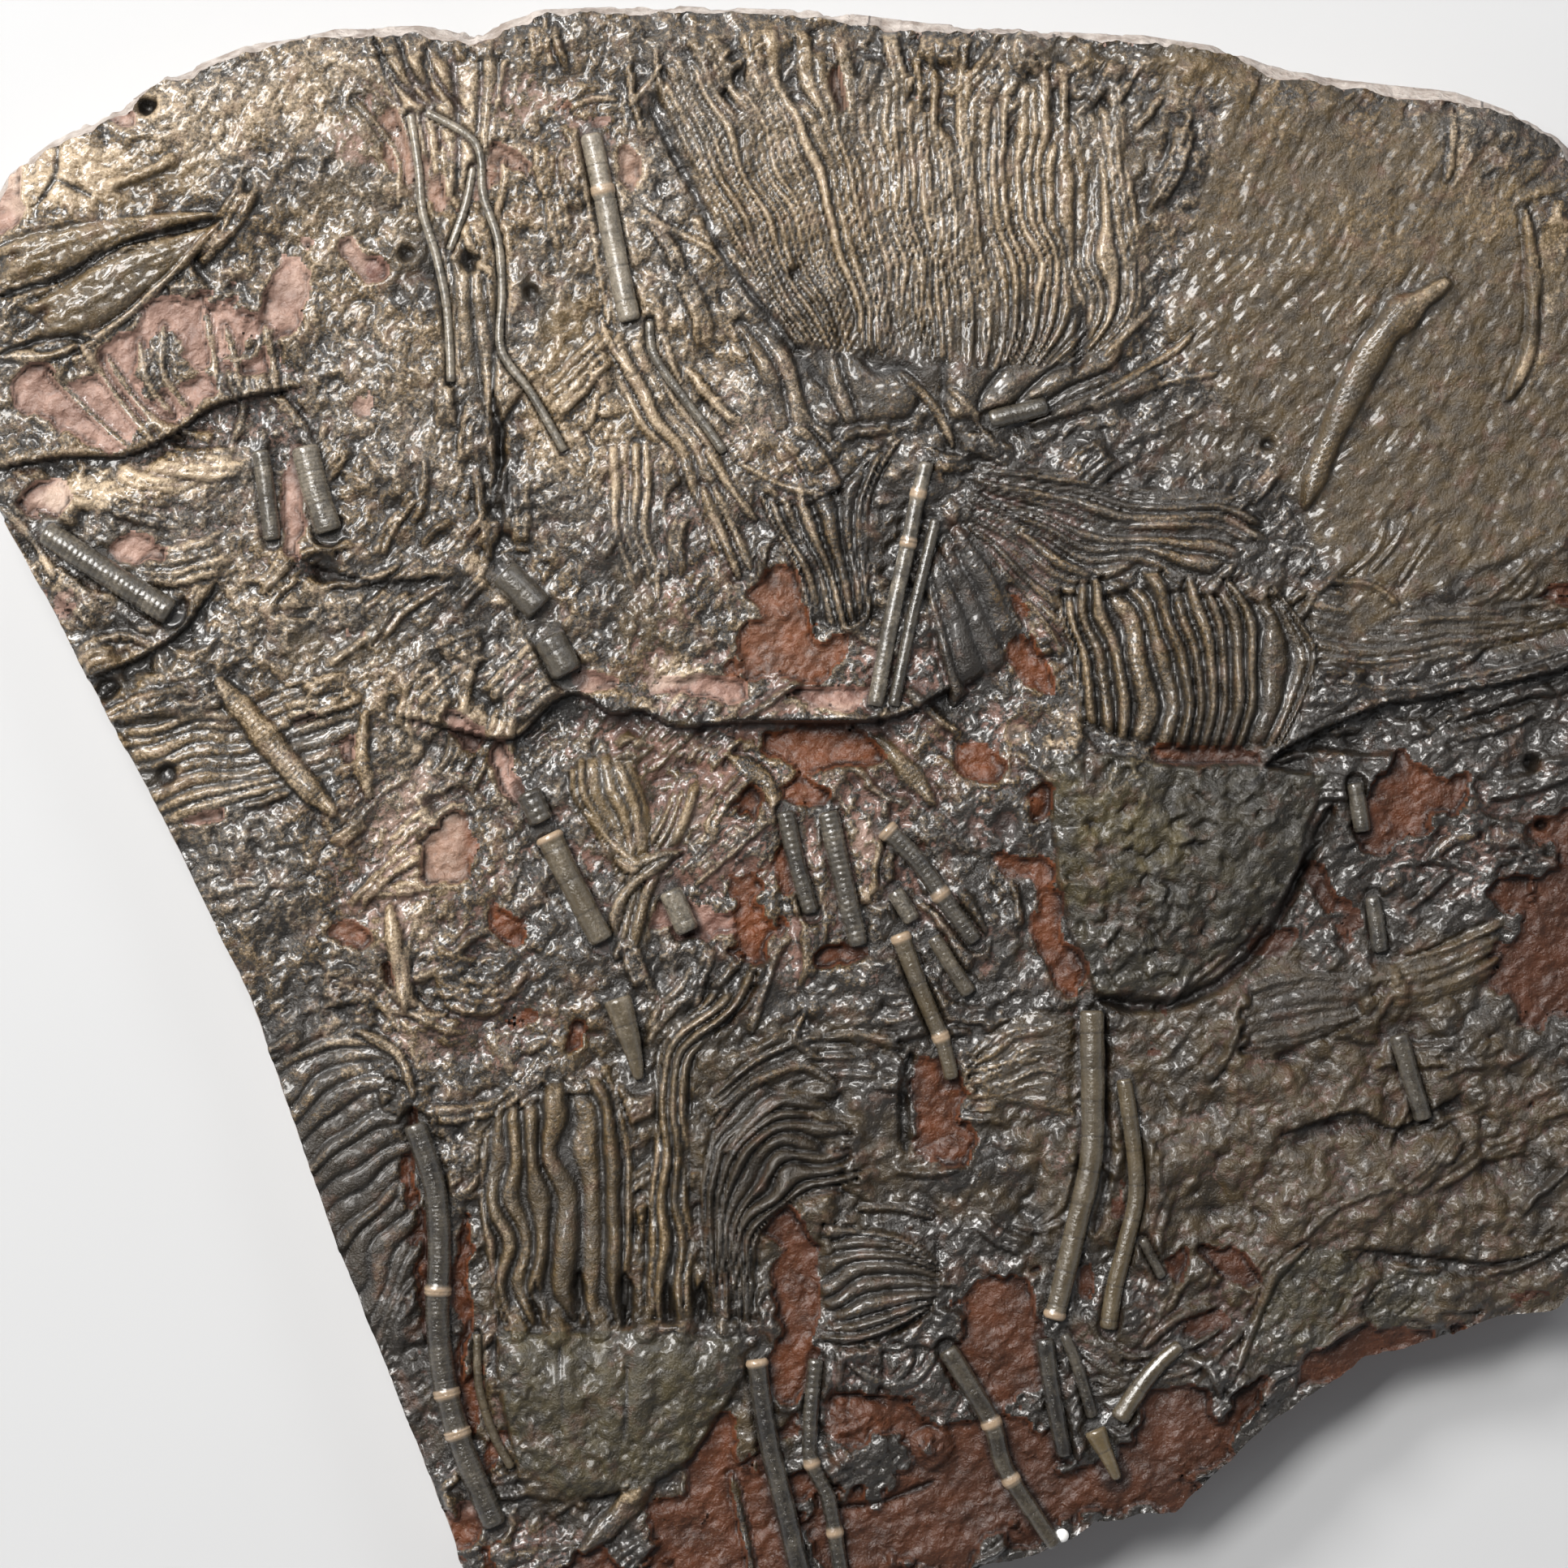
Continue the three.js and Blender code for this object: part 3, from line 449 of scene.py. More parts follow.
GOLDEN = [
    (-94, 128, 6, 6, 0, 1), (-71, 120, 6, 11, 0, .9), (-78, 135, 6, 5, 0, .6),
    (106, 103, 9, 6, 0, .6), (92, 187, 20, 5, -8, 1), (56, 192, 16, 3, 0, .7),
    (150, 105, 26, 20, 0, .55), (150, 136, 14, 10, 0, .4), (88, 96, 12, 8, 0, .4),
    (-50, 22, 12, 6, 0, .7), (-58, 10, 12, 12, 0, .7), (12, 16, 8, 5, -40, .7),
    (-30, 158, 10, 16, 20, .35), (-110, 175, 20, 14, 0, .5), (-120, 150, 20, 12, 0, .4),
    (60, 160, 14, 22, 0, .4), (-170, 160, 14, 4, 15, .6), (-178, 38, 12, 7, 0, .5),
    (-130, 45, 14, 5, 0, .5), (-165, 20, 12, 5, 0, .5), (-70, -95, 24, 26, 0, .4),
    (64, 2, 16, 9, -30, 1), (60, -12, 10, 6, 0, .9), (120, -85, 70, 50, 0, .55),
    (-55, -145, 34, 26, 0, .7), (-40, -85, 50, 36, 0, .5), (-2, -52, 10, 4, 0, .6),
    (46, -52, 12, 6, 0, .5), (-52, 55, 8, 12, 0, .5), (28, -92, 8, 5, 0, .5),
    (168, 60, 12, 10, 0, .5), (140, -40, 14, 10, 0, .5), (150, -70, 26, 30, 0, .3),
    (95, -60, 22, 30, 0, .3), (165, 48, 14, 3, 5, 1), (104, 52, 12, 6, 0, .4),
]
# paler patches: partly the stone's own paler tone, partly painted sheen over the north-west
PALE = [
    (-192, 165, 14, 8, 15, .8), (-150, 178, 30, 14, 20, .5), (-60, 110, 30, 26, 0, .35),
    (-172, 86, 22, 3.4, 12, 1), (-152, 92, 6, 3, 0, .7), (-90, 62, 7, 2, -60, .8),
    (40, 23, 4.5, 1.3, -25, 1), (53, 21, 6, 9, 0, .5), (-58, 148, 10, 26, 0, .3),
    (-50, 120, 40, 30, 0, .22), (-110, 130, 24, 40, 0, .2), (30, 160, 50, 34, 0, .15),
    (172, 140, 2.5, 16, 0, .7), (168, 112, 3.5, 9, -20, .8), (149, 172, 2, 10, -5, .5),
    (124, 170, 6, 5, 45, .4), (-110, 40, 40, 12, 10, .25), (-150, 60, 30, 10, 0, .25),
    (-45, 38, 7, 3, 20, .6), (-8, 29, 30, 2.2, 3, .3), (-52, 32, 12, 2.2, -15, .3),
    (-108, 0, 10, 50, 0, .35), (-90, 27, 8, 3, -20, .6), (68, 14, 8, 5, 0, .6),
    (72, 5, 3, 6, -40, .6), (-55, -163, 7, 2.6, 40, .9), (-84, -176, 8, 4, 0, .4),
    (-124, -55, 10, 3, -55, .5), (-40, -108, 10, 12, 0, .1), (-80, 150, 30, 30, 0, .15),
    (-196, 62, 6, 3, -40, .5), (7, -4, 5, 6, 0, .35), (5, -16, 3, 3, 0, .6),
    (-57, 108, 20, 20, 0, .2), (30, 62, 40, 8, -20, .1), (-37, 3, 6, 6, 30, .4),
    (154, -2, 5, 2, 10, .5), (-44, 40, 6, 3, 0, .5), (35, -60, 10, 6, 20, .4),
]
# darker patches: partly the stone's own darker tone, partly painted shadow below the steps of the bedding
# and on the south-east side of the cone
DARK = [
    (-150, 188, 12, 5, 20, .3), (-102, 138, 6, 10, 20, .8), (-79, 133, 3.6, 7, 0, 1),
    (-90, 112, 4, 24, 0, .5), (-116, 140, 4, 8, 30, .7), (-170, 53, 12, 4, 10, .9),
    (-166, 48, 6, 3, 0, .7), (-185, 34, 6, 4, 0, .9), (-172, 12, 6, 4, 0, .9),
    (-100, 50, 14, 12, 0, .4), (-128, 64, 8, 3, -10, .7), (-50, 26, 26, 3.4, -6, 1),
    (-12, 26, 26, 2.4, 0, 1), (10, 26, 8, 4, 0, 1), (26, 40, 12, 16, 0, .6),
    (20, 74, 30, 14, 0, .5), (60, 92, 40, 14, 0, .35), (20, 118, 20, 8, 0, .6),
    (44, 120, 14, 10, 0, .5), (-14, 126, 10, 12, 30, .5), (34, -2, 10, 6, 0, .7),
    (130, 20, 14, 4, 22, 1), (122, 6, 4, 10, 10, .9), (112, -14, 3, 8, 25, .9),
    (100, -27, 7, 2.4, 38, .8), (88, -40, 12, 4, 15, .9), (14, -58, 3, 13, 0, .8),
    (-10, -70, 24, 22, 0, .35), (-24, -90, 16, 22, 0, .4), (-122, -100, 16, 40, 25, .55),
    (-113, -140, 10, 24, 25, .6), (-55, -121, 5, 6, -20, 1), (-38, -121, 4, 5, -15, 1),
    (-24, -140, 4, 8, 0, .8), (66, -70, 3.5, 22, 0, .7), (64, -104, 5, 12, 0, .5),
    (40, -98, 12, 10, 0, .4), (118, -46, 20, 8, 0, .6), (124, -72, 12, 4, 25, .9),
    (150, -108, 20, 4, 8, .8), (100, -6, 24, 28, 0, 1), (80, -30, 26, 12, -20, 1),
    (-122, -88, 18, 40, 25, .35), (60, -26, 10, 10, 0, .2), (-68, -108, 3, 12, 0, .5),
    (-32, -38, 14, 8, 0, .35), (-76, -30, 16, 14, 0, .25), (146, 76, 20, 12, 30, .5),
    (168, 75, 5, 4, 0, .9), (78, -60, 6, 20, 0, .4), (-60, 58, 6, 14, 0, .3),
    (-85, 88, 3, 16, 0, .8),
]
# which way the loose arms lie: (x, y, direction in degrees from +X, reach)
FLOW = [
    (-150, 185, 50, 20), (-190, 160, 15, 20), (-115, 160, 80, 26), (-75, 160, 85, 20),
    (-185, 108, -50, 16), (-160, 122, -65, 16), (-135, 120, 85, 20), (-100, 110, 85, 24),
    (-62, 120, 80, 26), (-45, 150, -62, 14), (-30, 110, -50, 18), (-175, 85, 15, 14),
    (-150, 72, 60, 12), (-110, 75, 50, 22), (-70, 70, 75, 22), (-45, 65, 80, 18), (-60, 95, 60, 14),
    (-190, 62, -45, 12), (-150, 45, 12, 20), (-110, 48, 25, 22), (-165, 20, 15, 22),
    (-125, 10, 18, 24), (-90, 30, 70, 16), (-145, -20, 24, 22), (-120, -30, 10, 22),
    (-130, -55, 14, 20), (-105, -50, -20, 14), (-125, -85, 22, 22), (-115, -120, 30, 24),
    (-80, -15, -65, 16), (-80, -40, 30, 16), (-60, -20, -70, 14), (-35, 20, 40, 14),
    (-30, -10, 70, 14), (-35, -45, 50, 14), (0, 10, -50, 20), (-5, -25, -75, 18), (10, -50, 15, 18),
    (30, -20, -50, 16), (35, 20, -60, 18), (35, 85, -20, 24), (70, 85, 35, 18), (60, 100, 40, 16),
    (100, 85, 50, 24), (130, 70, 52, 24), (150, 60, 55, 24), (110, 110, 50, 30), (150, 130, 60, 40),
    (180, 100, 60, 40), (80, 150, 70, 24), (125, 40, 30, 20), (155, 42, 15, 24), (190, 40, 10, 24),
    (150, 15, 10, 20), (145, -12, 20, 18), (180, 10, 10, 30), (120, -30, 60, 16),
    (110, -60, -20, 20), (150, -60, 30, 24), (140, -90, 25, 24), (180, -80, 35, 30),
    (95, -80, 60, 20), (85, -60, 75, 16), (110, -100, 50, 18), (150, -108, 15, 20),
    (20, -85, 0, 20), (10, -65, -30, 16), (-10, -60, -10, 14), (40, -100, -30, 18),
    (-60, -175, 25, 20), (-5, -140, 85, 16), (0, -180, 12, 30), (80, -150, 40, 24),
    (75, -135, 60, 14), (-185, 140, 20, 24),
]
# steps in the bedding: (line, drop in mm of the right-hand side walking along it, reach on that side)
LEDGES = [
    ([(-97, 24), (-84, 22), (-74, 31), (-67, 33), (-59, 28), (-52, 29), (-43, 25), (-30, 26),
      (-16, 26), (0, 26), (12, 28), (20, 32)], 3.6, 26),
    ([(-205, 90), (-192, 92), (-180, 92), (-168, 97), (-158, 104), (-142, 108)], 2.6, 9),
    ([(-141, 107), (-134, 98), (-131, 84), (-128, 70)], -1.5, 6), ([(98, 11), (106, 19), (120, 26),
      (133, 31), (146, 33), (162, 36), (180, 40), (200, 44)], 3.4, 18),
    ([(60, -43), (72, -43), (86, -39), (100, -28), (109, -13), (118, 8)], 0.0, 8),
    ([(-190, 36), (-176, 42), (-166, 48), (-160, 56)], 2.4, 8),
    ([(110, -74), (124, -70), (134, -74), (146, -68)], 2.0, 8),
    ([(128, -104), (145, -106), (160, -107), (172, -104)], 1.6, 10),
    ([(-130, 64), (-118, 61), (-104, 62)], 1.8, 6),
]
# cracks, darkened inside with painted shade: (line, half width, depth)
CRACKS = [
    ([(-88.4, 107), (-87, 90), (-90.6, 76)], 1.0, 2.4),
    ([(-211, 131), (-195, 135.6), (-180, 143.6), (-156, 150)], .8, 2),
    ([(14.6, -56), (12.6, -66), (13.4, -80)], 1.2, 2.6),
    ([(-50, 178), (-38, 155), (-30, 138), (-14, 118), (-6, 108)], 1.0, 1.0),
    ([(-78, -112), (-77.6, -122)], 1.3, 2.6), ([(-67.4, -110), (-67.6, -122)], 1.3, 2.8),
    ([(-56, -110), (-56.4, -123)], 1.6, 3.2), ([(-45.6, -112), (-46, -122)], 1.2, 2.4),
    ([(-37, -112), (-37, -122)], 1.6, 3), ([(-72, -128), (-71, -146)], .4, .7),
    ([(-55, -127), (-56, -152)], .4, .8), ([(-119, 196), (-112, 184), (-104, 178)], .7, 1.6),
    ([(-113, 196), (-107, 184), (-100, 178)], .7, 1.6),
    ([(-106, 194), (-102, 184), (-95, 176)], .7, 1.6),
    ([(-196, 168), (-197, 160), (-201, 154)], .35, .9), ([(-196, 160), (-188, 156)], .3, .8),
    ([(-212, 116), (-198, 121), (-186, 120)], .7, 1.6),
    ([(-7, -168), (6, -167), (20, -162)], .7, 1.4),
    ([(30, 84), (49, 70), (60, 62), (70, 55)], .5, 1),
    ([(55, 112), (57, 122), (56, 130)], 1.4, 1.8),
    ([(62, -44), (62, -64), (63, -84), (60, -100)], 1.1, 1.8),
    ([(60, -42), (74, -44), (88, -40), (101, -29), (110, -13), (119, 6)], 1.3, 3.2),
]
# low single arms and ridges in the relief: (line, radius, lift)
RIDGES = [
    ([(-215, 118), (-200, 116), (-191, 119)], 1.3, 1.4),
    ([(-190, 118), (-178, 127), (-166, 138), (-156, 149)], .9, 1.8),
    ([(-212, 132), (-196, 134), (-180, 145), (-158, 151.6)], .6, 1.2),
    ([(-190, 119), (-180, 104), (-172, 95)], 1, 1), ([(-184, 116), (-176, 104), (-166, 96)], 1, 1),
    ([(-198, 112), (-188, 102), (-178, 93)], .9, .9),
    ([(-176, 120), (-174, 110), (-168, 102)], 1, 1),
    ([(-170, 124), (-170, 112), (-164, 103)], 1, 1),
    ([(-160, 128), (-158, 118), (-157, 110)], 1, 1),
    ([(-155, 124), (-152, 114), (-151, 108)], 1, 1),
    ([(-145, 124), (-143, 114), (-142, 108)], 1.2, 1),
    ([(-210, 79), (-203, 72), (-197, 62)], 1, 1.4), ([(-210, 76), (-204, 66), (-200, 60)], .8, 1.2),
    ([(-202, 78), (-192, 73), (-180, 63)], .8, .8),
    ([(-101, 168), (-100, 158), (-96, 152)], .8, 1.2),
    ([(-86, 165), (-86, 158), (-88, 150), (-87.6, 146)], .9, 1.6),
    ([(-94, 140), (-89, 137), (-87, 133)], .9, 1.4), ([(-105, 175), (-96, 172), (-90, 167)], .8, 1),
    ([(-116, 190), (-110, 180), (-103, 176)], .7, 1.2),
    ([(-121, 184), (-113, 178), (-108, 175)], .6, 1),
    ([(-123, 180), (-116, 172), (-112, 164), (-112, 154)], .8, 1),
    ([(-62, 126), (-59, 118), (-54, 112)], .8, 1), ([(-66, 160), (-63, 140), (-60, 124)], .7, .9),
    ([(-55, 178), (-50, 184), (-47, 188)], .8, 1), ([(-70, 177), (-64, 180), (-58, 180)], .8, 1),
    ([(-50, 150), (-34, 142), (-26, 131), (-21, 126)], .9, 1),
    ([(-36, 93), (-30, 84), (-24, 76)], 1, 1.2), ([(-37, 84), (-32, 72), (-28, 62)], 1.4, 1.4),
    ([(-34, 84), (-29, 73), (-25, 64)], 1, 1.2), ([(-28, 90), (-16, 84), (-6, 82)], .8, 1),
    ([(50, 71), (42, 74), (30, 78)], .6, .8),
    ([(60, 106), (70, 112), (80, 118), (84, 122)], .9, 1.4),
    ([(58, 104), (66, 106), (78, 110), (90, 112)], .8, 1),
    ([(62, 116), (68, 122), (74, 128)], .8, 1.2), ([(24, 108), (30, 102), (36, 92)], 1, 1.2),
    ([(12, 112), (20, 104), (25, 94)], 1.2, 1.4), ([(119, 60.6), (128, 60), (134.6, 55)], .8, 1.6),
    ([(122, 62), (129, 68), (132, 76)], .7, 1), ([(128, 63), (134, 70), (138, 78)], .7, 1),
    ([(135, 60), (140, 68), (145, 75)], .7, 1),
    ([(120, 36), (136, 34), (150, 37), (164, 40), (182, 46)], .8, 1),
    ([(124, 31), (140, 32), (152, 35)], .7, .9), ([(150, 45), (160, 48), (174, 53)], .5, .8),
    ([(154, 44), (166, 47), (178, 51)], .5, .8), ([(142, -8), (148, -3), (154, -1.6)], 1.3, 1.4),
    ([(84, -164.4), (84.4, -164), (84.8, -163)], .3, .2),
    ([(76, -134), (80, -131), (87, -132.4), (91, -140)], 1.1, 1.6),
    ([(112, -103), (104.6, -110), (101.4, -117), (94.6, -134)], 1.1, 1.8),
    ([(109.6, -134), (104, -136.6), (100.8, -142)], .9, 1.6),
    ([(126.6, -118), (130, -114), (134.4, -112.4)], .6, 1), ([(134, -120), (138, -117)], .6, 1),
    ([(-4, -63), (-12, -59), (-20, -61), (-28, -66), (-34, -74)], 1, 1.6),
    ([(-4, -66), (-14, -66), (-24, -72), (-31, -80)], .9, 1.2),
    ([(-8, -57), (-14, -52), (-12, -46)], 1, 1.2), ([(20, -96), (12, -94), (2, -94)], 1, 1.6),
    ([(3, -127), (12, -128), (17, -122)], .8, 1), ([(0, -133), (9, -137), (15, -131)], 1, 1.4),
    ([(8, -138), (16, -136), (21, -129)], 1, 1.2), ([(53, -97), (46, -99), (40, -98)], .9, 1.2),
    ([(54, -86), (52, -93), (46, -98)], .9, 1), ([(56, -104), (57.6, -102)], 1.2, 1.2),
    ([(72, -128), (80, -121), (90, -118)], 1.2, 1.6),
    ([(62, -126), (67, -130), (71, -131)], .9, 1.2),
    ([(57, -130), (64, -134), (71, -133)], .9, 1.2),
    ([(60, -136), (66, -138), (72, -137)], .9, 1.2), ([(58, -120), (61, -126), (67, -133)], .9, 1),
    ([(28, 68), (26, 71), (23, 66)], .6, .8),
    ([(-58, -8), (-54, -10), (-50, -8), (-42, -6)], 1.3, 2),
    ([(-45, -8), (-54, -14), (-59, -22), (-58, -32)], 1.2, 1.6),
    ([(-66, 4), (-58, -5), (-52, -9)], .8, 1.2), ([(-118, -44), (-108, -46), (-100, -46)], .8, 1),
    ([(-122, -50), (-112, -56), (-108, -66)], 1.4, 1.4),
    ([(-128, -38), (-118, -42), (-112, -50)], .7, .8),
    ([(-114, -20), (-112, -32), (-110, -44)], 2.6, 1.6),
    ([(-109, -28), (-110, -36), (-108, -44)], 1, .6),
    ([(-156, 36), (-146, 24), (-136, 12), (-128, 4)], 3, 1.6),
    ([(-120, 28), (-121, 18), (-119, 8)], 2.2, 1.2), ([(-31, 18), (-22, 12), (-18, 2)], 2, 1.4),
    ([(6, 22), (14, 14), (20, 6)], 2.4, 1.4),
    ([(166, 152), (168, 134), (167, 118), (162, 106)], 1.6, 1.2),
    ([(148, 178), (148, 170), (147, 160)], 1, .9),
    ([(112, 80), (117, 94), (124, 109), (133, 124), (146, 134)], 3.6, .9),
    ([(-83, -119), (-80, -136)], 2.8, -1.2), ([(-73, -119), (-70, -148)], 2.8, -1.2),
    ([(-62, -119), (-61, -142)], 2.6, -1.1), ([(-51, -119), (-53, -150)], 2.8, -1.2),
    ([(-41, -119), (-46, -140)], 2.6, -1.1), ([(-31, -119), (-36, -134)], 2.4, -1.1),
    ([(30, -60), (38, -58), (46, -57)], .7, .8), ([(-6, -52), (2, -51), (12, -54)], 1.2, 1.2),
    ([(-30, -160), (-28, -168), (-25, -182), (-24, -190)], 1.2, 1.4),
    ([(-66, -178), (-58, -170), (-50, -162)], 3, 2), ([(-100, -165), (-98, -170)], 2.6, 1.6),
]
# parts of the face where the arms are worn flat
SMOOTH_AREAS = [
    (-152, 176, 46, 20, 15, .8), (-116, 128, 20, 44, 0, .7), (-70, 150, 26, 46, 0, .7),
    (-40, 110, 22, 26, 0, .6), (-75, 110, 16, 34, 0, .6), (-155, 78, 34, 12, 0, .5),
    (-30, 160, 20, 34, 20, .7), (90, 95, 20, 20, 0, .5), (-105, 62, 20, 16, 0, .4),
    (-192, 163, 16, 9, 15, 1), (-188, 104, 22, 12, 0, .6), (140, 160, 60, 26, -10, .75),
    (175, 110, 50, 46, 0, .75), (110, 190, 40, 8, -10, .6),
]
# parts where the debris is made of round grains and lumps
NODULAR_AREAS = [
    (105, -78, 30, 26, 0, 1), (140, -88, 30, 18, 10, .7), (160, -60, 22, 26, 0, .6),
    (30, -88, 14, 9, 0, 1), (-12, -148, 12, 12, 0, 1), (90, -100, 22, 10, 0, .8),
    (-60, -30, 12, 10, 0, .5), (-95, -55, 20, 10, 0, .5), (-2, -42, 14, 8, 0, .8),
    (64, 60, 1, 1, 0, .1),
]
# duller parts of the face, out of the way of the varnish
MATTE_AREAS = [
    (140, 160, 66, 30, -10, .7), (175, 100, 50, 50, 0, .7), (84, -8, 36, 30, 0, .8),
    (120, -80, 70, 50, 0, .65), (-122, -90, 20, 44, 25, .7), (-20, -82, 22, 22, 0, .7),
    (-58, -145, 34, 24, 0, .6), (-70, -95, 24, 26, 0, .5), (165, -70, 40, 50, 0, .6),
]
# parts where flecks of the red rock show in the hollows
FLECKED_AREAS = [
    (-20, 12, 60, 40, 0, 1), (-36, 38, 44, 8, -4, 1), (-100, -8, 26, 30, 0, .8),
    (-104, 178, 26, 16, 0, .9), (-66, 168, 12, 14, 0, .7), (110, -30, 26, 22, 0, .8),
    (-90, -50, 30, 10, 0, .6), (60, -60, 20, 22, 0, .6), (-30, 75, 30, 24, 0, .5),
    (85, -120, 30, 20, 0, .8), (10, -140, 30, 16, 0, .8), (-150, 95, 30, 30, 0, .5),
    (40, 60, 14, 24, 0, .8), (150, -5, 30, 14, 10, .8), (-95, -150, 10, 30, 0, .6),
    (-80, -185, 24, 14, 0, .6), (125, -85, 60, 46, 0, .55), (30, 150, 60, 40, 0, .3),
]
BUNDLES = 800                    # tries at laying a few loose arms
# round pits, darkened inside with painted shade: (x, y, radius, depth)
PITS = [
    (-174.4, 177.6, 2, 3), (-174, 178, 1.2, 2), (168, 16, 1.7, 4), (154.6, -1.6, 1.2, 3),
    (170, .6, 1.1, 3), (-168.6, 14, 2.6, 3), (-184, 34, 2.4, 3), (-110.4, 142, 2, 2.4),
    (-95, 139, 2.4, 2.6), (-79, 132, 2.2, 3), (-103, 6, 3, 2.6), (56.6, -101, 1, 1), (8, 26, 3, 2),
    (-130, 64, 2.6, 2), (-165, 55, 2, 2.4), (38, 0, 3, 2), (124, 22, 3, 2), (103, 95, 1.6, 2),
    (-14, 137, 2, 2), (-82, -162, 2, 2), (166, -8, 1.4, 2),
]
# rough round knobs: (x, y, radius, height)
KNOBS = [
    (20, -153, 5, 2.6), (2, -150, 9, 2.2), (36, -129, 2, 1), (-98, -166, 2.6, 1.6),
    (-105.4, -109.4, 1.6, 1.6), (44.6, 5, 2.4, 2), (-60, 91, 3, 1), (-54, -164, 3, 2),
    (95, -115, 3, 1.2), (130, -40, 7, 2.6), (24, -86, 8, 2), (-12, 66, 3, 1.4), (-83, -123, 3, 1.8),
    (-73, -124, 3, 2), (-62, -123, 3.2, 2.2), (-51, -124, 3, 1.8), (-41, -124, 3, 2),
    (-31, -123, 2.8, 1.6), (26, 78, 4, 1.4), (52, 18, 7, 2), (2, -17, 3, 2),
]
PEARL = (51.8, -174.6, 1.7)      # a small white bead of calcite near the south edge


# =====================================================================================
# the relief map: one height and a few tints for every STEP of the face
# =====================================================================================
xs = np.arange(WEST, EAST, STEP, dtype=np.float32)
ys = np.arange(SOUTH, NORTH, STEP, dtype=np.float32)
X, Y = np.meshgrid(xs, ys)
ROWS, COLUMNS = X.shape
NOISE_CELLS = 256
WRAP = NOISE_CELLS - 1           # cell numbers start again past this
TABLE = np.random.default_rng(11).random((NOISE_CELLS, NOISE_CELLS)).astype(np.float32)


def noise(u, v, seed):
    """Smooth value noise, 0 to 1; one bump is one unit of u and v wide."""
    u = u + 37.7 * seed
    v = v + 91.3 * seed
    iu = np.floor(u).astype(np.int32)
    iv = np.floor(v).astype(np.int32)
    fu = u - iu
    fv = v - iv
    fu = fu * fu * (3 - 2 * fu)
    fv = fv * fv * (3 - 2 * fv)
    iu &= WRAP
    iv &= WRAP
    ju = (iu + 1) & WRAP
    jv = (iv + 1) & WRAP
    low = TABLE[iv, iu] * (1 - fu) + TABLE[iv, ju] * fu
    high = TABLE[jv, iu] * (1 - fu) + TABLE[jv, ju] * fu
    return low * (1 - fv) + high * fv


def cloud(size, octaves, seed):
    """Fractal noise over the face, -1 to 1, with bumps of the given size in mm."""
    total = np.zeros_like(X)
    weight = 0.0
    for octave in range(octaves):
        gain = 0.55 ** octave
        scale = size / 2 ** octave
        total += gain * (noise(X / scale, Y / scale, seed + octave) * 2 - 1)
        weight += gain
    return total / weight


def flakes(size, seed):
    """Crumpled facets and round grains, one to each cell of an uneven honeycomb."""
    u = X / size + 17.3 * seed + 0.25 * WARP_X / size
    v = Y / size + 5.9 * seed + 0.25 * WARP_Y / size
    iu = np.floor(u).astype(np.int32)
    iv = np.floor(v).astype(np.int32)
    best = np.full(X.shape, 9, np.float32)
    off_u = np.zeros_like(X)
    off_v = np.zeros_like(X)
    cell_u = np.zeros_like(iu)
    cell_v = np.zeros_like(iv)
    for dj in (-1, 0, 1):
        for di in (-1, 0, 1):
            a = (iu + di) & WRAP
            b = (iv + dj) & WRAP
            ou = u - (iu + di) - TABLE[b, a]
            ov = v - (iv + dj) - TABLE[(b + 57) & WRAP, (a + 13) & WRAP]
            d = ou * ou + ov * ov
            nearer = d < best
            best = np.where(nearer, d, best)
            off_u = np.where(nearer, ou, off_u)
            off_v = np.where(nearer, ov, off_v)
            cell_u = np.where(nearer, a, cell_u)
            cell_v = np.where(nearer, b, cell_v)
    slope_u = TABLE[(cell_v + 101) & WRAP, cell_u] * 2 - 1
    slope_v = TABLE[(cell_v + 31) & WRAP, (cell_u + 77) & WRAP] * 2 - 1
    level = TABLE[(cell_v + 7) & WRAP, (cell_u + 3) & WRAP] - 0.5
    return slope_u * off_u + slope_v * off_v + 0.5 * level, np.sqrt(np.clip(1 - best / 0.6, 0, 1))


def smooth(edge0, edge1, value):
    """0 at edge0, 1 at edge1, with a soft start and end."""
    t = np.clip((value - edge0) / (edge1 - edge0), 0, 1)
    return t * t * (3 - 2 * t)


def blur(field, radius):
    """Box blur, radius in map steps, run twice."""
    for _ in range(2):
        for axis in (0, 1):
            size = 2 * radius + 1
            pad = [(0, 0), (0, 0)]
            pad[axis] = (radius + 1, radius)
            sums = np.cumsum(np.pad(field, pad, mode="edge"), axis=axis, dtype=np.float64)
            if axis == 0:
                field = ((sums[size:] - sums[:-size]) / size).astype(np.float32)
            else:
                field = ((sums[:, size:] - sums[:, :-size]) / size).astype(np.float32)
    return field


def lowest(field):
    """The lowest value within about nine map steps."""
    for axis in (0, 1):
        for step in (1, 2, 4, 2):
            field = np.minimum(field, np.minimum(np.roll(field, step, axis), np.roll(field, -step, axis)))
    return field


def window(points, reach):
    """The part of the map within reach of some points."""
    px = [p[0] for p in points]
    py = [p[1] for p in points]
    c0 = max(0, int((min(px) - reach - WEST) / STEP))
    c1 = min(COLUMNS, int((max(px) + reach - WEST) / STEP) + 2)
    r0 = max(0, int((min(py) - reach - SOUTH) / STEP))
    r1 = min(ROWS, int((max(py) + reach - SOUTH) / STEP) + 2)
    return slice(r0, max(r0, r1)), slice(c0, max(c0, c1))


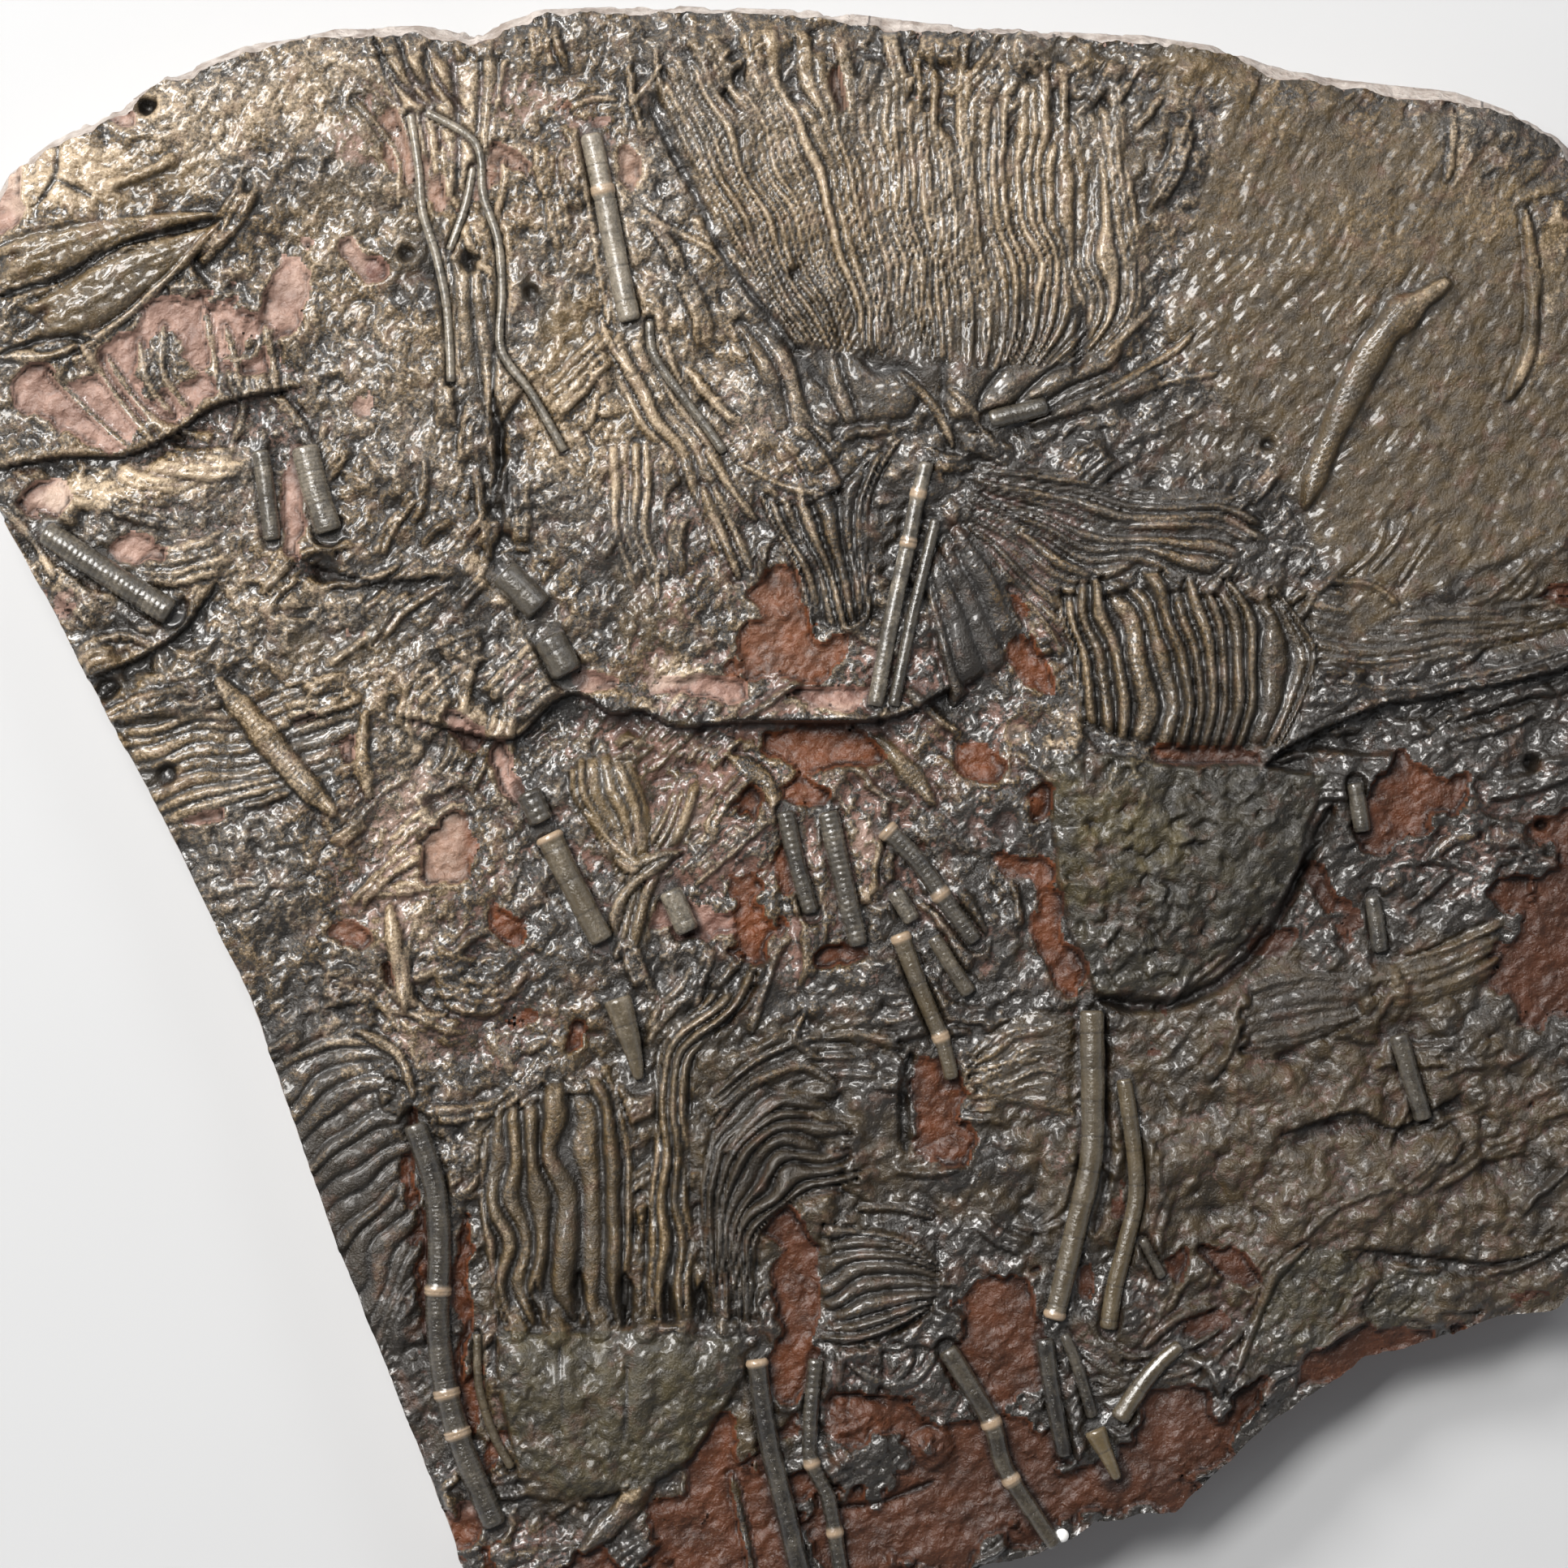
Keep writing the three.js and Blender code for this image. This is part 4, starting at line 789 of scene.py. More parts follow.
def spline(points, ts):
    """Points of a Catmull-Rom curve through the given ones; ts runs from 0 to 1."""
    points = np.asarray(points, dtype=np.float64)
    count = len(points)
    place = np.asarray(ts) * (count - 1)
    i = np.clip(np.floor(place).astype(int), 0, count - 1)
    w = (place - i).reshape((-1,) + (1,) * (points.ndim - 1))
    p0 = points[np.maximum(i - 1, 0)]
    p1 = points[i]
    p2 = points[np.minimum(i + 1, count - 1)]
    p3 = points[np.minimum(i + 2, count - 1)]
    v0 = (p2 - p0) / 2
    v1 = (p3 - p1) / 2
    return (2 * p1 - 2 * p2 + v0 + v1) * w ** 3 + (-3 * p1 + 3 * p2 - 2 * v0 - v1) * w ** 2 + v0 * w + p1


def stroke(points, reach, curved=True):
    """Around a line: the map window, distance from it, side (left is positive) and length along it."""
    line = np.array(points, float)
    if curved and len(points) > 2:
        line = spline(points, np.linspace(0, 1, 4 * len(points) - 3))
    area = window(points, reach + 2)
    gx = X[area]
    gy = Y[area]
    best = np.full(gx.shape, 1e9, np.float32)
    side = np.zeros_like(gx)
    along = np.zeros_like(gx)
    start = 0.0
    for (ax, ay), (bx, by) in zip(line[:-1], line[1:]):
        dx, dy = bx - ax, by - ay
        length = math.hypot(dx, dy)
        t = np.clip(((gx - ax) * dx + (gy - ay) * dy) / length ** 2, 0, 1)
        ox = gx - ax - dx * t
        oy = gy - ay - dy * t
        d = np.hypot(ox, oy)
        nearer = d < best
        best = np.where(nearer, d, best)
        side = np.where(nearer, np.sign(dx * oy - dy * ox), side)
        along = np.where(nearer, start + t * length, along)
        start += length
    return area, best, side, along, start


def patches(spots, edge=0.7):
    """Soft patches with ragged edges, 0 to 1."""
    field = np.zeros_like(X)
    for x, y, half_width, half_height, turn, strength in spots:
        area = window([(x, y)], 1.7 * max(half_width, half_height))
        c, s = math.cos(math.radians(turn)), math.sin(math.radians(turn))
        dx = X[area] - x + WARP_X[area]
        dy = Y[area] - y + WARP_Y[area]
        reach = np.hypot((dx * c + dy * s) / half_width, (dy * c - dx * s) / half_height)
        reach += edge * RAGGED[area]
        field[area] = np.maximum(field[area], strength * smooth(1.35, 0.65, reach))
    return field


RAGGED = cloud(9, 4, 3) * 1.3
WARP_X = 3.4 * cloud(11, 3, 101)
WARP_Y = 3.4 * cloud(11, 3, 111)
CRUMPLE = cloud(4.2, 4, 21)
GRIT = cloud(1.5, 2, 31)
BROAD = cloud(38, 2, 41)
RED = patches(BARE_RED)
PINK = patches(BARE_PINK)
GOLD = patches(GOLDEN)
LIGHT = patches(PALE)
SHADE = patches(DARK)


def distance_to_outline():
    """Distance to the slab's outline, positive inside, and which way the rim there is finished."""
    ring = [point for edge, _, _ in EDGES for point in edge]
    inset = [value for edge, value, _ in EDGES for _ in edge]
    rough = [value for edge, _, value in EDGES for _ in edge]
    best = np.full(X.shape, 1e9, np.float32)
    inside = np.zeros(X.shape, bool)
    rim = np.zeros_like(X)
    break_up = np.zeros_like(X)
    for k, (ax, ay) in enumerate(ring):
        n = (k + 1) % len(ring)
        bx, by = ring[n]
        dx, dy = bx - ax, by - ay
        t = np.clip(((X - ax) * dx + (Y - ay) * dy) / (dx * dx + dy * dy), 0, 1)
        d = np.hypot(X - ax - dx * t, Y - ay - dy * t)
        nearer = d < best
        best[nearer] = d[nearer]
        rim[nearer] = inset[k]
        break_up[nearer] = rough[k]
        crosses = ((Y < ay) != (Y < by)) & (X < (bx - ax) * (Y - ay) / (by - ay + 1e-12) + ax)
        inside ^= crosses
    return np.where(inside, best, -best), blur(rim, 9), blur(break_up, 9)


OUTLINE, RIM, BREAK = distance_to_outline()
FACE = OUTLINE - RIM - BREAK * (1.2 * RAGGED + 0.5 * CRUMPLE)   # distance inside the rim of the face


def flow_field():
    """Unit vectors along which the loose arms lie."""
    c = np.zeros_like(X)
    s = np.zeros_like(X)
    for x, y, angle, reach in FLOW:
        area = window([(x, y)], 3 * reach)
        weight = np.exp(-((X[area] - x) ** 2 + (Y[area] - y) ** 2) / (reach * reach)) + 1e-6
        c[area] += weight * math.cos(math.radians(2 * angle))
        s[area] += weight * math.sin(math.radians(2 * angle))
    angle = np.arctan2(s, c) / 2 + 0.5 * cloud(22, 2, 51)
    return np.cos(angle), np.sin(angle)


def streaks(grain, reach, seed):
    """Noise drawn out along the flow, so that it looks like strands lying side by side."""
    source = noise(X / grain, Y / grain, seed)
    total = source.copy()
    hop = 0.6
    for sign in (1, -1):
        x = X.copy()
        y = Y.copy()
        dx, dy = FLOW_X * sign, FLOW_Y * sign
        for _ in range(int(reach / hop)):
            x += dx * hop
            y += dy * hop
            i = np.clip(((x - WEST) / STEP).astype(np.int32), 0, COLUMNS - 1)
            j = np.clip(((y - SOUTH) / STEP).astype(np.int32), 0, ROWS - 1)
            nx, ny = FLOW_X[j, i], FLOW_Y[j, i]
            turn = np.sign(nx * dx + ny * dy)
            dx, dy = nx * turn, ny * turn
            total += source[j, i]
    total -= total.mean()
    return total / total.std()


LUMPS = cloud(13, 3, 91)
FLOW_X, FLOW_Y = flow_field()
STRANDS = streaks(1.5, 7, 5)
FIBRES = streaks(0.75, 4, 6)

# ---- the bedding with its steps, then the debris
PLANE = BED + 1.1 * BROAD                # the bedding, gently waved
ROUNDED = 1.6 * smooth(7, 0, OUTLINE - RIM)   # how far the face falls towards its rim
H = PLANE + 0.5 * CRUMPLE
H -= ROUNDED
LEDGE_SHADOW = np.zeros_like(X)
for line, drop, reach in LEDGES:
    area, d, side, _, _ = stroke(line, reach)
    d = d + 1.2 * RAGGED[area]
    right = side < 0
    H[area] -= drop * np.where(right, smooth(reach, 1.2, d), 0)
    H[area] += 0.45 * drop * np.where(~right, smooth(9, 0, d), 0)
    # painted shadow on the low side of each step
    LEDGE_SHADOW[area] = np.maximum(LEDGE_SHADOW[area], np.where(right, smooth(3.2, 0.3, d), 0) * (drop > 0))

BARE = np.clip(np.maximum(RED, PINK) + 0.14 * CRUMPLE, 0, 1)
LOOSE = smooth(0.62, 0.42, BARE)
ridge = 1 - np.abs(np.tanh(0.9 * STRANDS))
ROCK = H + 0.45 * CRUMPLE + 0.4 * GRIT + 0.5 * LUMPS + 0.25 * (ridge - 0.5)
CALM = patches(SMOOTH_AREAS)
KIND = np.zeros_like(X)                  # extra paleness of the piece that owns the spot, with a painted highlight on the crests of single arms
GLOW = GOLD * 0.8
GROOVE_SHADE = np.zeros_like(X)                  # painted shade: 1 in the grooves between arms, in cracks and pits and round stems
rumple = 1 - np.abs(2 * cloud(5.5, 4, 121))
FOIL, _ = flakes(4.6, 1)
FOIL_FINE, _ = flakes(2.1, 2)
_, GRAINS = flakes(2.9, 3)
_, GRAINS_FINE = flakes(1.5, 4)
NODULAR = patches(NODULAR_AREAS)
wrinkle = 1 - np.abs(np.tanh(1.1 * FIBRES))
foil = 0.9 * FOIL + 0.45 * FOIL_FINE + 0.7 * (rumple - 0.6) + 0.25 * (ridge - 0.45)
nodules = 0.9 * (GRAINS - 0.5) + 0.6 * (GRAINS_FINE - 0.5) + 1.8 * LUMPS + 0.5 * FOIL + 0.5 * (rumple - 0.6)
hash_relief = foil + (nodules - foil) * NODULAR + 0.25 * CRUMPLE + 0.2 * GRIT
H = H + DEBRIS + (hash_relief + 1.4 * LUMPS) * (1 - 0.75 * CALM) + 1.2 * LUMPS
H = H + 0.42 * (wrinkle - 0.5) * (1 - NODULAR) + 0.5 * (rumple - 0.6) * CALM


def lay_bundle(x, y, angle, arms, pitch, length, bend, lift, rng):
    """A few arms side by side, half sunk in the debris, both ends dipping under it."""
    area = window([(x, y)], 0.5 * length + arms * pitch)
    c, s = math.cos(angle), math.sin(angle)
    dx, dy = X[area] - x, Y[area] - y
    u = dx * c + dy * s
    v = dy * c - dx * s - bend * u * u / length
    phase = v / pitch + arms / 2 + 0.5 * RAGGED[area]
    arm = np.clip(np.floor(phase), 0, arms - 1).astype(int)
    f = np.clip(phase - arm, 0, 1)
    reach = rng.uniform(0.36, 0.52, arms)[arm] * length
    profile = np.sqrt(1 - (2 * f - 1) ** 2)
    knuckle = np.cos(u * 2 * math.pi / 1.4 + rng.uniform(0, 6, arms)[arm])
    fade = smooth(0, 3.5, reach - np.abs(u)) * (phase > 0) * (phase < arms)
    top = BEDDING[area] + lift + 0.52 * pitch * profile * rng.uniform(0.8, 1.1, arms)[arm] + 0.05 * knuckle
    higher = (top * fade + H[area] * (1 - fade) > H[area]) & (fade > 0.02)
    H[area] = np.where(higher, top * fade + H[area] * (1 - fade), H[area])
    KIND[area] = np.where(higher, (rng.uniform(-0.25, 0.2, arms)[arm]) * fade, KIND[area])
    # painted shade between the arms of a bundle and along its sides
    GROOVE_SHADE[area] = np.where(higher, 0.5 * smooth(0.7, 0.1, profile) * fade, GROOVE_SHADE[area])
    outside = smooth(1.3, 0.2, np.abs(v) - arms * pitch / 2) * (~higher) * (np.abs(u) < 0.4 * length)
    GROOVE_SHADE[area] = np.maximum(GROOVE_SHADE[area], 0.4 * outside)


def lay_loose_arms():
    """Bundles of arms at random places of the debris, along the flow."""
    rng = np.random.default_rng(23)
    for _ in range(BUNDLES):
        x, y = rng.uniform(WEST, EAST), rng.uniform(SOUTH, NORTH)
        i, j = int((x - WEST) / STEP), int((y - SOUTH) / STEP)
        numbers = rng.random(6)
        if FACE[j, i] < 2 or LOOSE[j, i] < 0.5 or numbers[0] < 1.15 * CALM[j, i]:
            continue
        if numbers[0] < 0.6 * NODULAR[j, i]:
            continue
        angle = math.atan2(FLOW_Y[j, i], FLOW_X[j, i]) + (numbers[1] - 0.5) * 0.8
        lay_bundle(x, y, angle, 1 + int(6 * numbers[2] ** 1.5), 1.5 + 0.9 * numbers[3], 9 + 22 * numbers[4],
                   (numbers[5] - 0.5) * 1.1, 0.6 + DEBRIS + 1.1 * rng.random(), rng)


BEDDING = H - DEBRIS - 0.2
lay_loose_arms()
H = ROCK + (H - ROCK) * LOOSE
GROOVE_SHADE = GROOVE_SHADE * LOOSE
KIND = KIND * LOOSE

OWNER = np.zeros(X.shape, np.int16)      # 0 rock, 1 debris, then crowns and cups
OWNER[LOOSE > 0.5] = 1
NAMES = ["rock", "debris"]


def own(name, area, mask):
    """The spots under the mask belong to a new piece."""
    NAMES.append(name)
    OWNER[area] = np.where(mask > 0.5, len(NAMES) - 1, OWNER[area])


def lay_fan(name, spec):
    """A sheet of arms side by side, with ragged tips, laid over the relief."""
    guides = np.array([spline(g, np.linspace(0, 1, 420)) for g in spec["guides"]])
    spread = np.linalg.norm(guides[-1] - guides[0], axis=1).max()
    length = np.linalg.norm(np.diff(guides, axis=1), axis=2).sum(1).max()
    columns = int(spread / STEP * 2.6) + 8
    rows = int(length / STEP * 1.8)
    guides = np.array([spline(g, np.linspace(0, 1, rows)) for g in spec["guides"]])
    sheet = spline(guides, np.linspace(0, 1, columns))
    s, t = np.meshgrid(np.linspace(0, 1, columns), np.linspace(0, 1, rows), indexing="ij")
    i = ((sheet[..., 0] - WEST) / STEP + 0.5).astype(int)
    j = ((sheet[..., 1] - SOUTH) / STEP + 0.5).astype(int)
    ok = (i >= 0) & (j >= 0) & (i < COLUMNS) & (j < ROWS)
    across = np.full(X.shape, -1, np.float32)
    up = np.zeros_like(X)
    across[j[ok], i[ok]] = s[ok]
    up[j[ok], i[ok]] = t[ok]
    area = window(sheet.reshape(-1, 2)[:: 97], 2)
    across, up = across[area], up[area]
    inside = across >= 0
    arms = spec["arms"]
    sway = spec["waver"] * (noise(X[area] / 11, Y[area] / 11, 61) - 0.5) * 2.4
    rng = np.random.default_rng(len(name) * 5 + arms)
    uneven = spec.get("uneven", 0.38)
    widths = rng.uniform(1 - uneven, 1 + uneven, arms)
    edges = np.concatenate([[0], np.cumsum(widths)]) / widths.sum()
    phase = np.interp(np.clip(across, 0, 1), edges, np.arange(arms + 1))
    phase += sway * smooth(0, 0.1, across) * smooth(1, 0.9, across)
    phase -= spec.get("paired", 0) * 0.3 * np.sin(math.pi * phase) * smooth(0.3, 0.0, up)
    phase = np.clip(phase, 0, arms - 0.001)
    arm = np.clip(np.floor(phase), 0, arms - 1).astype(int)
    f = phase - arm
    ends = spec.get("ends", 0.14)
    swell = 2.4 * (noise(up * length / 14 + 7 * arm, arm * 0.37, 63) - 0.5)
    height = rng.uniform(0.6, 1.2, arms)[arm] + 0.3 * swell
    tone = rng.uniform(-0.14, 0.2, arms)[arm] + 0.1 * swell
    tip = rng.uniform(1 - ends, 1.0, arms)[arm]
    shift = rng.uniform(0, 6, arms)[arm]
    stout = spec.get("stout", 0.9)
    profile = np.sqrt(np.clip(1 - ((2 * np.clip(f, 0, 1) - 1) / stout) ** 2, 0, 1))
    knuckle = 0.5 + 0.5 * np.cos(up * length * 2 * math.pi / 1.25 + shift)
    edge_mm = np.minimum(np.minimum(across, 1 - across) * spread * 1.1, np.minimum(up, tip - up) * length)
    soft = spec.get("soft", 1.0 if name in FANS else 3.5)
    mask = smooth(-0.1, soft, edge_mm + (0.6 + 0.5 * soft) * RAGGED[area] - 0.2) * inside
    deep = spec["deep"] * (1 - spec.get("fading", 0) * up)
    crest = spec["lift"] * smooth(-0.6, 4.5, edge_mm) + 0.6 * DEBRIS + 0.4 * swell * min(1, spec["deep"])
    shape = deep * (profile * height - 0.55) - spec.get("beads", 0.1) * knuckle * profile * deep
    shape += 0.7 * (wrinkle[area] - 0.5) * up * spec.get("fading", 0)
    shape += 0.2 * CRUMPLE[area] + 0.2 * GRIT[area] + (1.0 if spec["deep"] > 0.9 else 0.3) * LUMPS[area]
    shape += (0.15 * CRUMPLE[area] + 0.08 * FIBRES[area] + 0.2 * (rumple[area] - 0.6)) * (spec["deep"] < 0.9)
    tone = tone + (0.4 * BROAD[area] + 0.35 * RAGGED[area]) * (spec["deep"] < 0.3)
    floor = PLANE[area] + 0.35 * CRUMPLE[area] - ROUNDED[area]
    H[area] = H[area] + (floor + crest + shape - H[area]) * mask
    KIND[area] = KIND[area] + ((spec["pale"] + tone) * (0.4 + 0.6 * profile) - KIND[area]) * mask
    GLOW[area] = np.maximum(GLOW[area] * (1 - 0.5 * mask), spec["gold"] * mask)
    # painted shade in the grooves between the arms
    GROOVE_SHADE[area] = GROOVE_SHADE[area] * (1 - mask) + mask * smooth(0.85, 0.15, profile) * np.minimum(1, 0.8 * deep)
    if name not in FANS:
        OWNER[area] = np.where(mask > 0.5, 1, OWNER[area])
        LOOSE[area] = np.maximum(LOOSE[area], mask)
        return
    own(name, area, mask)


def lay_cup(name, spec):
    """A granular dome with furrows that run up from its foot."""
    ring = spec["rim"] + spec["rim"][:1]
    area, d, _, _, _ = stroke(ring, 0, curved=False)
    gx, gy = X[area], Y[area]
    inside = np.zeros(gx.shape, bool)
    for (ax, ay), (bx, by) in zip(ring[:-1], ring[1:]):
        inside ^= ((gy < ay) != (gy < by)) & (gx < (bx - ax) * (gy - ay) / (by - ay + 1e-12) + ax)
    depth = np.where(inside, d, -d) + 0.8 * RAGGED[area]
    width = depth.max()
    mask = smooth(-0.2, 0.8, depth)
    dome = 0.45 + 0.55 * np.sqrt(np.clip(1 - (1 - np.clip(depth / width, 0, 1)) ** 2, 0, 1))
    bearing = np.arctan2(gx - spec["foot"][0], gy - spec["foot"][1])
    furrow = np.cos(bearing * spec["furrows"] * 3 + 2.2 * RAGGED[area])
    grain = spec["grain"]
    warp = 0.6 * CRUMPLE[area]
    cells = np.abs(noise(gx / grain + warp, gy / grain, 71) - 0.5)
    cells = cells + np.abs(noise(gx / grain, gy / grain + warp, 72) - 0.5)
    floor = PLANE[area]
    shape = spec["rise"] * dome + 0.16 * furrow * smooth(0, 6, depth)
    shape = shape + 0.8 * (cells - 0.4) + 0.6 * CRUMPLE[area]
    shape += 1.8 * LUMPS[area] + 0.7 * (GRAINS_FINE[area] - 0.5) + spec.get("facets", 0.9) * FOIL[area]
    H[area] = H[area] + (floor + shape + 0.25 * GRIT[area] - H[area]) * mask
    KIND[area] = KIND[area] + (-0.12 - KIND[area]) * mask
    GLOW[area] = np.maximum(GLOW[area], spec["gold"] * mask * (0.6 + 0.6 * RAGGED[area]))
    # painted shade in the crevices between the grains
    GROOVE_SHADE[area] = GROOVE_SHADE[area] * (1 - mask) + mask * smooth(0.36, 0.1, cells) * 0.6
    own(name, area, mask)


for name, spec in LOOSE_FANS.items():
    lay_fan(name, spec)
for name, spec in CUPS.items():
    lay_cup(name, spec)
for name, spec in FANS.items():
    lay_fan(name, spec)

# ---- single arms, knobs, cracks and pits
ARMS = np.zeros_like(X)
for line, radius, lift in RIDGES:
    area, d, _, along, total = stroke(line, 3 * radius)
    half = radius * np.clip(np.minimum(along, total - along) / (4 * radius) + 0.4, 0, 1)
    half = half * (0.75 + 0.6 * noise(along / 6, along * 0, int(10 * radius)))
    body = np.sqrt(np.clip(1 - (d / (half + 1e-6)) ** 2, 0, 1))
    knuckle = 0.93 + 0.07 * np.cos(along * 2 * math.pi / 1.3)
    top = blur(H[area], 5) + (lift + radius - 1.2) * body * knuckle
    H[area] = np.where(body > 0.15, np.maximum(H[area], top), H[area])
    H[area] -= (0.6 if radius < 2 else 0.0) * smooth(1.9, 1.1, d / radius) * (body < 0.15)
    # painted highlight: the crest of each single arm is paler
    KIND[area] += 0.14 * smooth(0.5, 1.0, body)
    ARMS[area] = np.maximum(ARMS[area], smooth(0.1, 0.5, body))
    # painted shade in the moat round each single arm
    moat = (0.7 if radius < 2 else 0.15) * smooth(1.7, 1.05, d / radius)
    GROOVE_SHADE[area] = np.maximum(GROOVE_SHADE[area] * (body < 0.15), moat * (body < 0.15))
    OWNER[area] = np.where((body > 0.3) & (OWNER[area] == 0), 1, OWNER[area])
for line, half, depth in CRACKS:
    area, d, _, along, total = stroke(line, 3 * half)
    taper = np.clip(np.minimum(along, total - along) / 3, 0.15, 1)
    cut = smooth(1.5, 0.3, (d + 0.5 * RAGGED[area]) / (half * taper + 0.15))
    H[area] -= depth * cut
    # painted shade inside the crack
    GROOVE_SHADE[area] = np.maximum(GROOVE_SHADE[area], cut)
for x, y, radius, depth in PITS:
    area = window([(x, y)], 2 * radius)
    d = np.hypot(X[area] - x + 0.3 * WARP_X[area], Y[area] - y + 0.3 * WARP_Y[area]) / radius
    d = d + 0.6 * RAGGED[area]
    H[area] -= depth * smooth(1.4, 0.3, d)
    # painted shade inside the pit
    GROOVE_SHADE[area] = np.maximum(GROOVE_SHADE[area], 0.9 * smooth(1.3, 0.5, d))
for x, y, radius, height in KNOBS:
    area = window([(x, y)], 2 * radius)
    d = np.hypot(X[area] - x, Y[area] - y) / radius + 0.3 * RAGGED[area]
    H[area] += height * np.sqrt(np.clip(1 - d * d, 0, 1)) * (0.9 + 0.3 * GRIT[area])
for name, spec in STEMS.items():
    radius = max(spec["radii"])
    area, d, _, _, _ = stroke(spec["path"], 2.2 * radius)
    if spec.get("sink", 0) > BURIED:
        continue
    level = BED + spec.get("lift", 0) + 0.5 * radius - spec.get("sink", 0)
    under = smooth(1.35, 0.95, d / radius)
    H[area] = np.minimum(H[area], H[area] + (level - H[area]) * under)
    # painted shade in the crevice round each stem
    GROOVE_SHADE[area] = np.maximum(GROOVE_SHADE[area], 0.85 * smooth(1.55, 1.0, d / radius))

# HOLLOW and DEEP give painted shade in the hollows, and HOLLOW a painted highlight on the ridges, in the
# materials; HOLLOW also lets the red rock show in hollows
HOLLOW = np.clip((blur(H, 4) - H) * 1.1, -1, 1)         # fine: + in hollows, - on ridges
DEEP = np.clip((blur(H, 14) - H) * 0.5, -1, 1)
# the painted shadow below the steps joins the painted shade of the grooves
GROOVE_SHADE = np.maximum(GROOVE_SHADE, LEDGE_SHADOW)
MATTE = patches(MATTE_AREAS)
ROCKY = np.where(OWNER > 1, 0, 1 - LOOSE).astype(np.float32)
ROCKY = blur(ROCKY, 2) + 0.9 * blur((OWNER == 0).astype(np.float32), 9) - 0.3 + 0.15 * CRUMPLE
ROCKY = np.clip(ROCKY + 0.5 * np.clip(HOLLOW, -0.6, 0.3) * (ROCKY > 0.02), 0, 1)
FLECKED = patches(FLECKED_AREAS) * smooth(-0.1, 0.25, HOLLOW + 0.7 * cloud(9, 4, 131))
ROCKY = np.maximum(ROCKY, 0.8 * FLECKED) * (1 - 0.95 * ARMS) * np.where(OWNER > 1, 0.4, 1)

# =====================================================================================
# meshes cut from the map
# =====================================================================================
gx = np.arange(WEST + 1, EAST - 1, GRID)
gy = np.arange(SOUTH + 1, NORTH - 1, GRID)
GX, GY = np.meshgrid(gx, gy)
GCOLUMNS = GX.shape[1]


def sample(field, px, py):
    """Value of a map field at points, between its steps."""
    u = np.clip((px - WEST) / STEP, 0, COLUMNS - 1.001)
    v = np.clip((py - SOUTH) / STEP, 0, ROWS - 1.001)
    i = u.astype(int)
    j = v.astype(int)
    fu = u - i
    fv = v - j
    low = field[j, i] * (1 - fu) + field[j, i + 1] * fu
    high = field[j + 1, i] * (1 - fu) + field[j + 1, i + 1] * fu
    return low * (1 - fv) + high * fv


def snap_to_rim(px, py):
    """Grid points just outside the rim of the face move onto it."""
    slope_y, slope_x = np.gradient(blur(FACE, 2), STEP)
    for _ in range(3):
        depth = sample(FACE, px, py)
        sx = sample(slope_x, px, py)
        sy = sample(slope_y, px, py)
        push = np.where(depth < 0, -depth / np.maximum(sx * sx + sy * sy, 0.3), 0)
        px = px + sx * push
        py = py + sy * push
    return px, py


depth = sample(FACE, GX, GY)
inside = depth > 0
cells = inside[:-1, :-1] | inside[:-1, 1:] | inside[1:, :-1] | inside[1:, 1:]
near = depth < 3 * GRID
PX, PY = GX.copy(), GY.copy()
PX[near], PY[near] = snap_to_rim(GX[near], GY[near])
column = np.clip(((GX - WEST) / STEP).astype(int), 0, COLUMNS - 1)
row = np.clip(((GY - SOUTH) / STEP).astype(int), 0, ROWS - 1)
owner = OWNER[row, column]
PZ = sample(H, PX, PY)


def face_normals():
    """Normals of the whole face, so that neighbouring sheets meet without a visible joint."""
    a = np.stack([np.gradient(PX, axis=1), np.gradient(PY, axis=1), np.gradient(PZ, axis=1)], 2)
    b = np.stack([np.gradient(PX, axis=0), np.gradient(PY, axis=0), np.gradient(PZ, axis=0)], 2)
    normal = np.cross(a, b)
    return normal / np.maximum(np.linalg.norm(normal, axis=2, keepdims=True), 1e-9)


NORMALS = face_normals().reshape(-1, 3)


def new_mesh(name, verts, faces, attributes, material, replaces=None, normals=None):
    """A Blender mesh from mm points; faces is an index array with 3 or 4 columns or a list of polygons."""
    mesh = bpy.data.meshes.new(name)
    if isinstance(faces, np.ndarray):
        width = faces.shape[1]
        mesh.vertices.add(len(verts))
        mesh.vertices.foreach_set("co", (np.asarray(verts, np.float32) * MM).ravel())
        mesh.loops.add(faces.size)
        mesh.loops.foreach_set("vertex_index", faces.astype(np.int32).ravel())
        mesh.polygons.add(len(faces))
        mesh.polygons.foreach_set("loop_start", np.arange(0, faces.size, width, dtype=np.int32))
    else:
        mesh.from_pydata((np.asarray(verts) * MM).tolist(), [], faces)
    mesh.update(calc_edges=True)
    mesh.validate()
    for key, values in attributes.items():
        layer = mesh.attributes.new(key, "FLOAT_COLOR", "POINT")
        rgba = np.ones((len(verts), 4), np.float32)
        rgba[:, : values.shape[1]] = values
        layer.data.foreach_set("color", rgba.ravel())
    mesh.shade_smooth()
    if normals is not None:
        mesh.normals_split_custom_set_from_vertices(normals.tolist())
    mesh.materials.append(material)
    obj = bpy.data.objects.new(name, mesh)
    bpy.context.scene.collection.objects.link(obj)
    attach(obj, "root")
    if replaces:
        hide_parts(replaces)


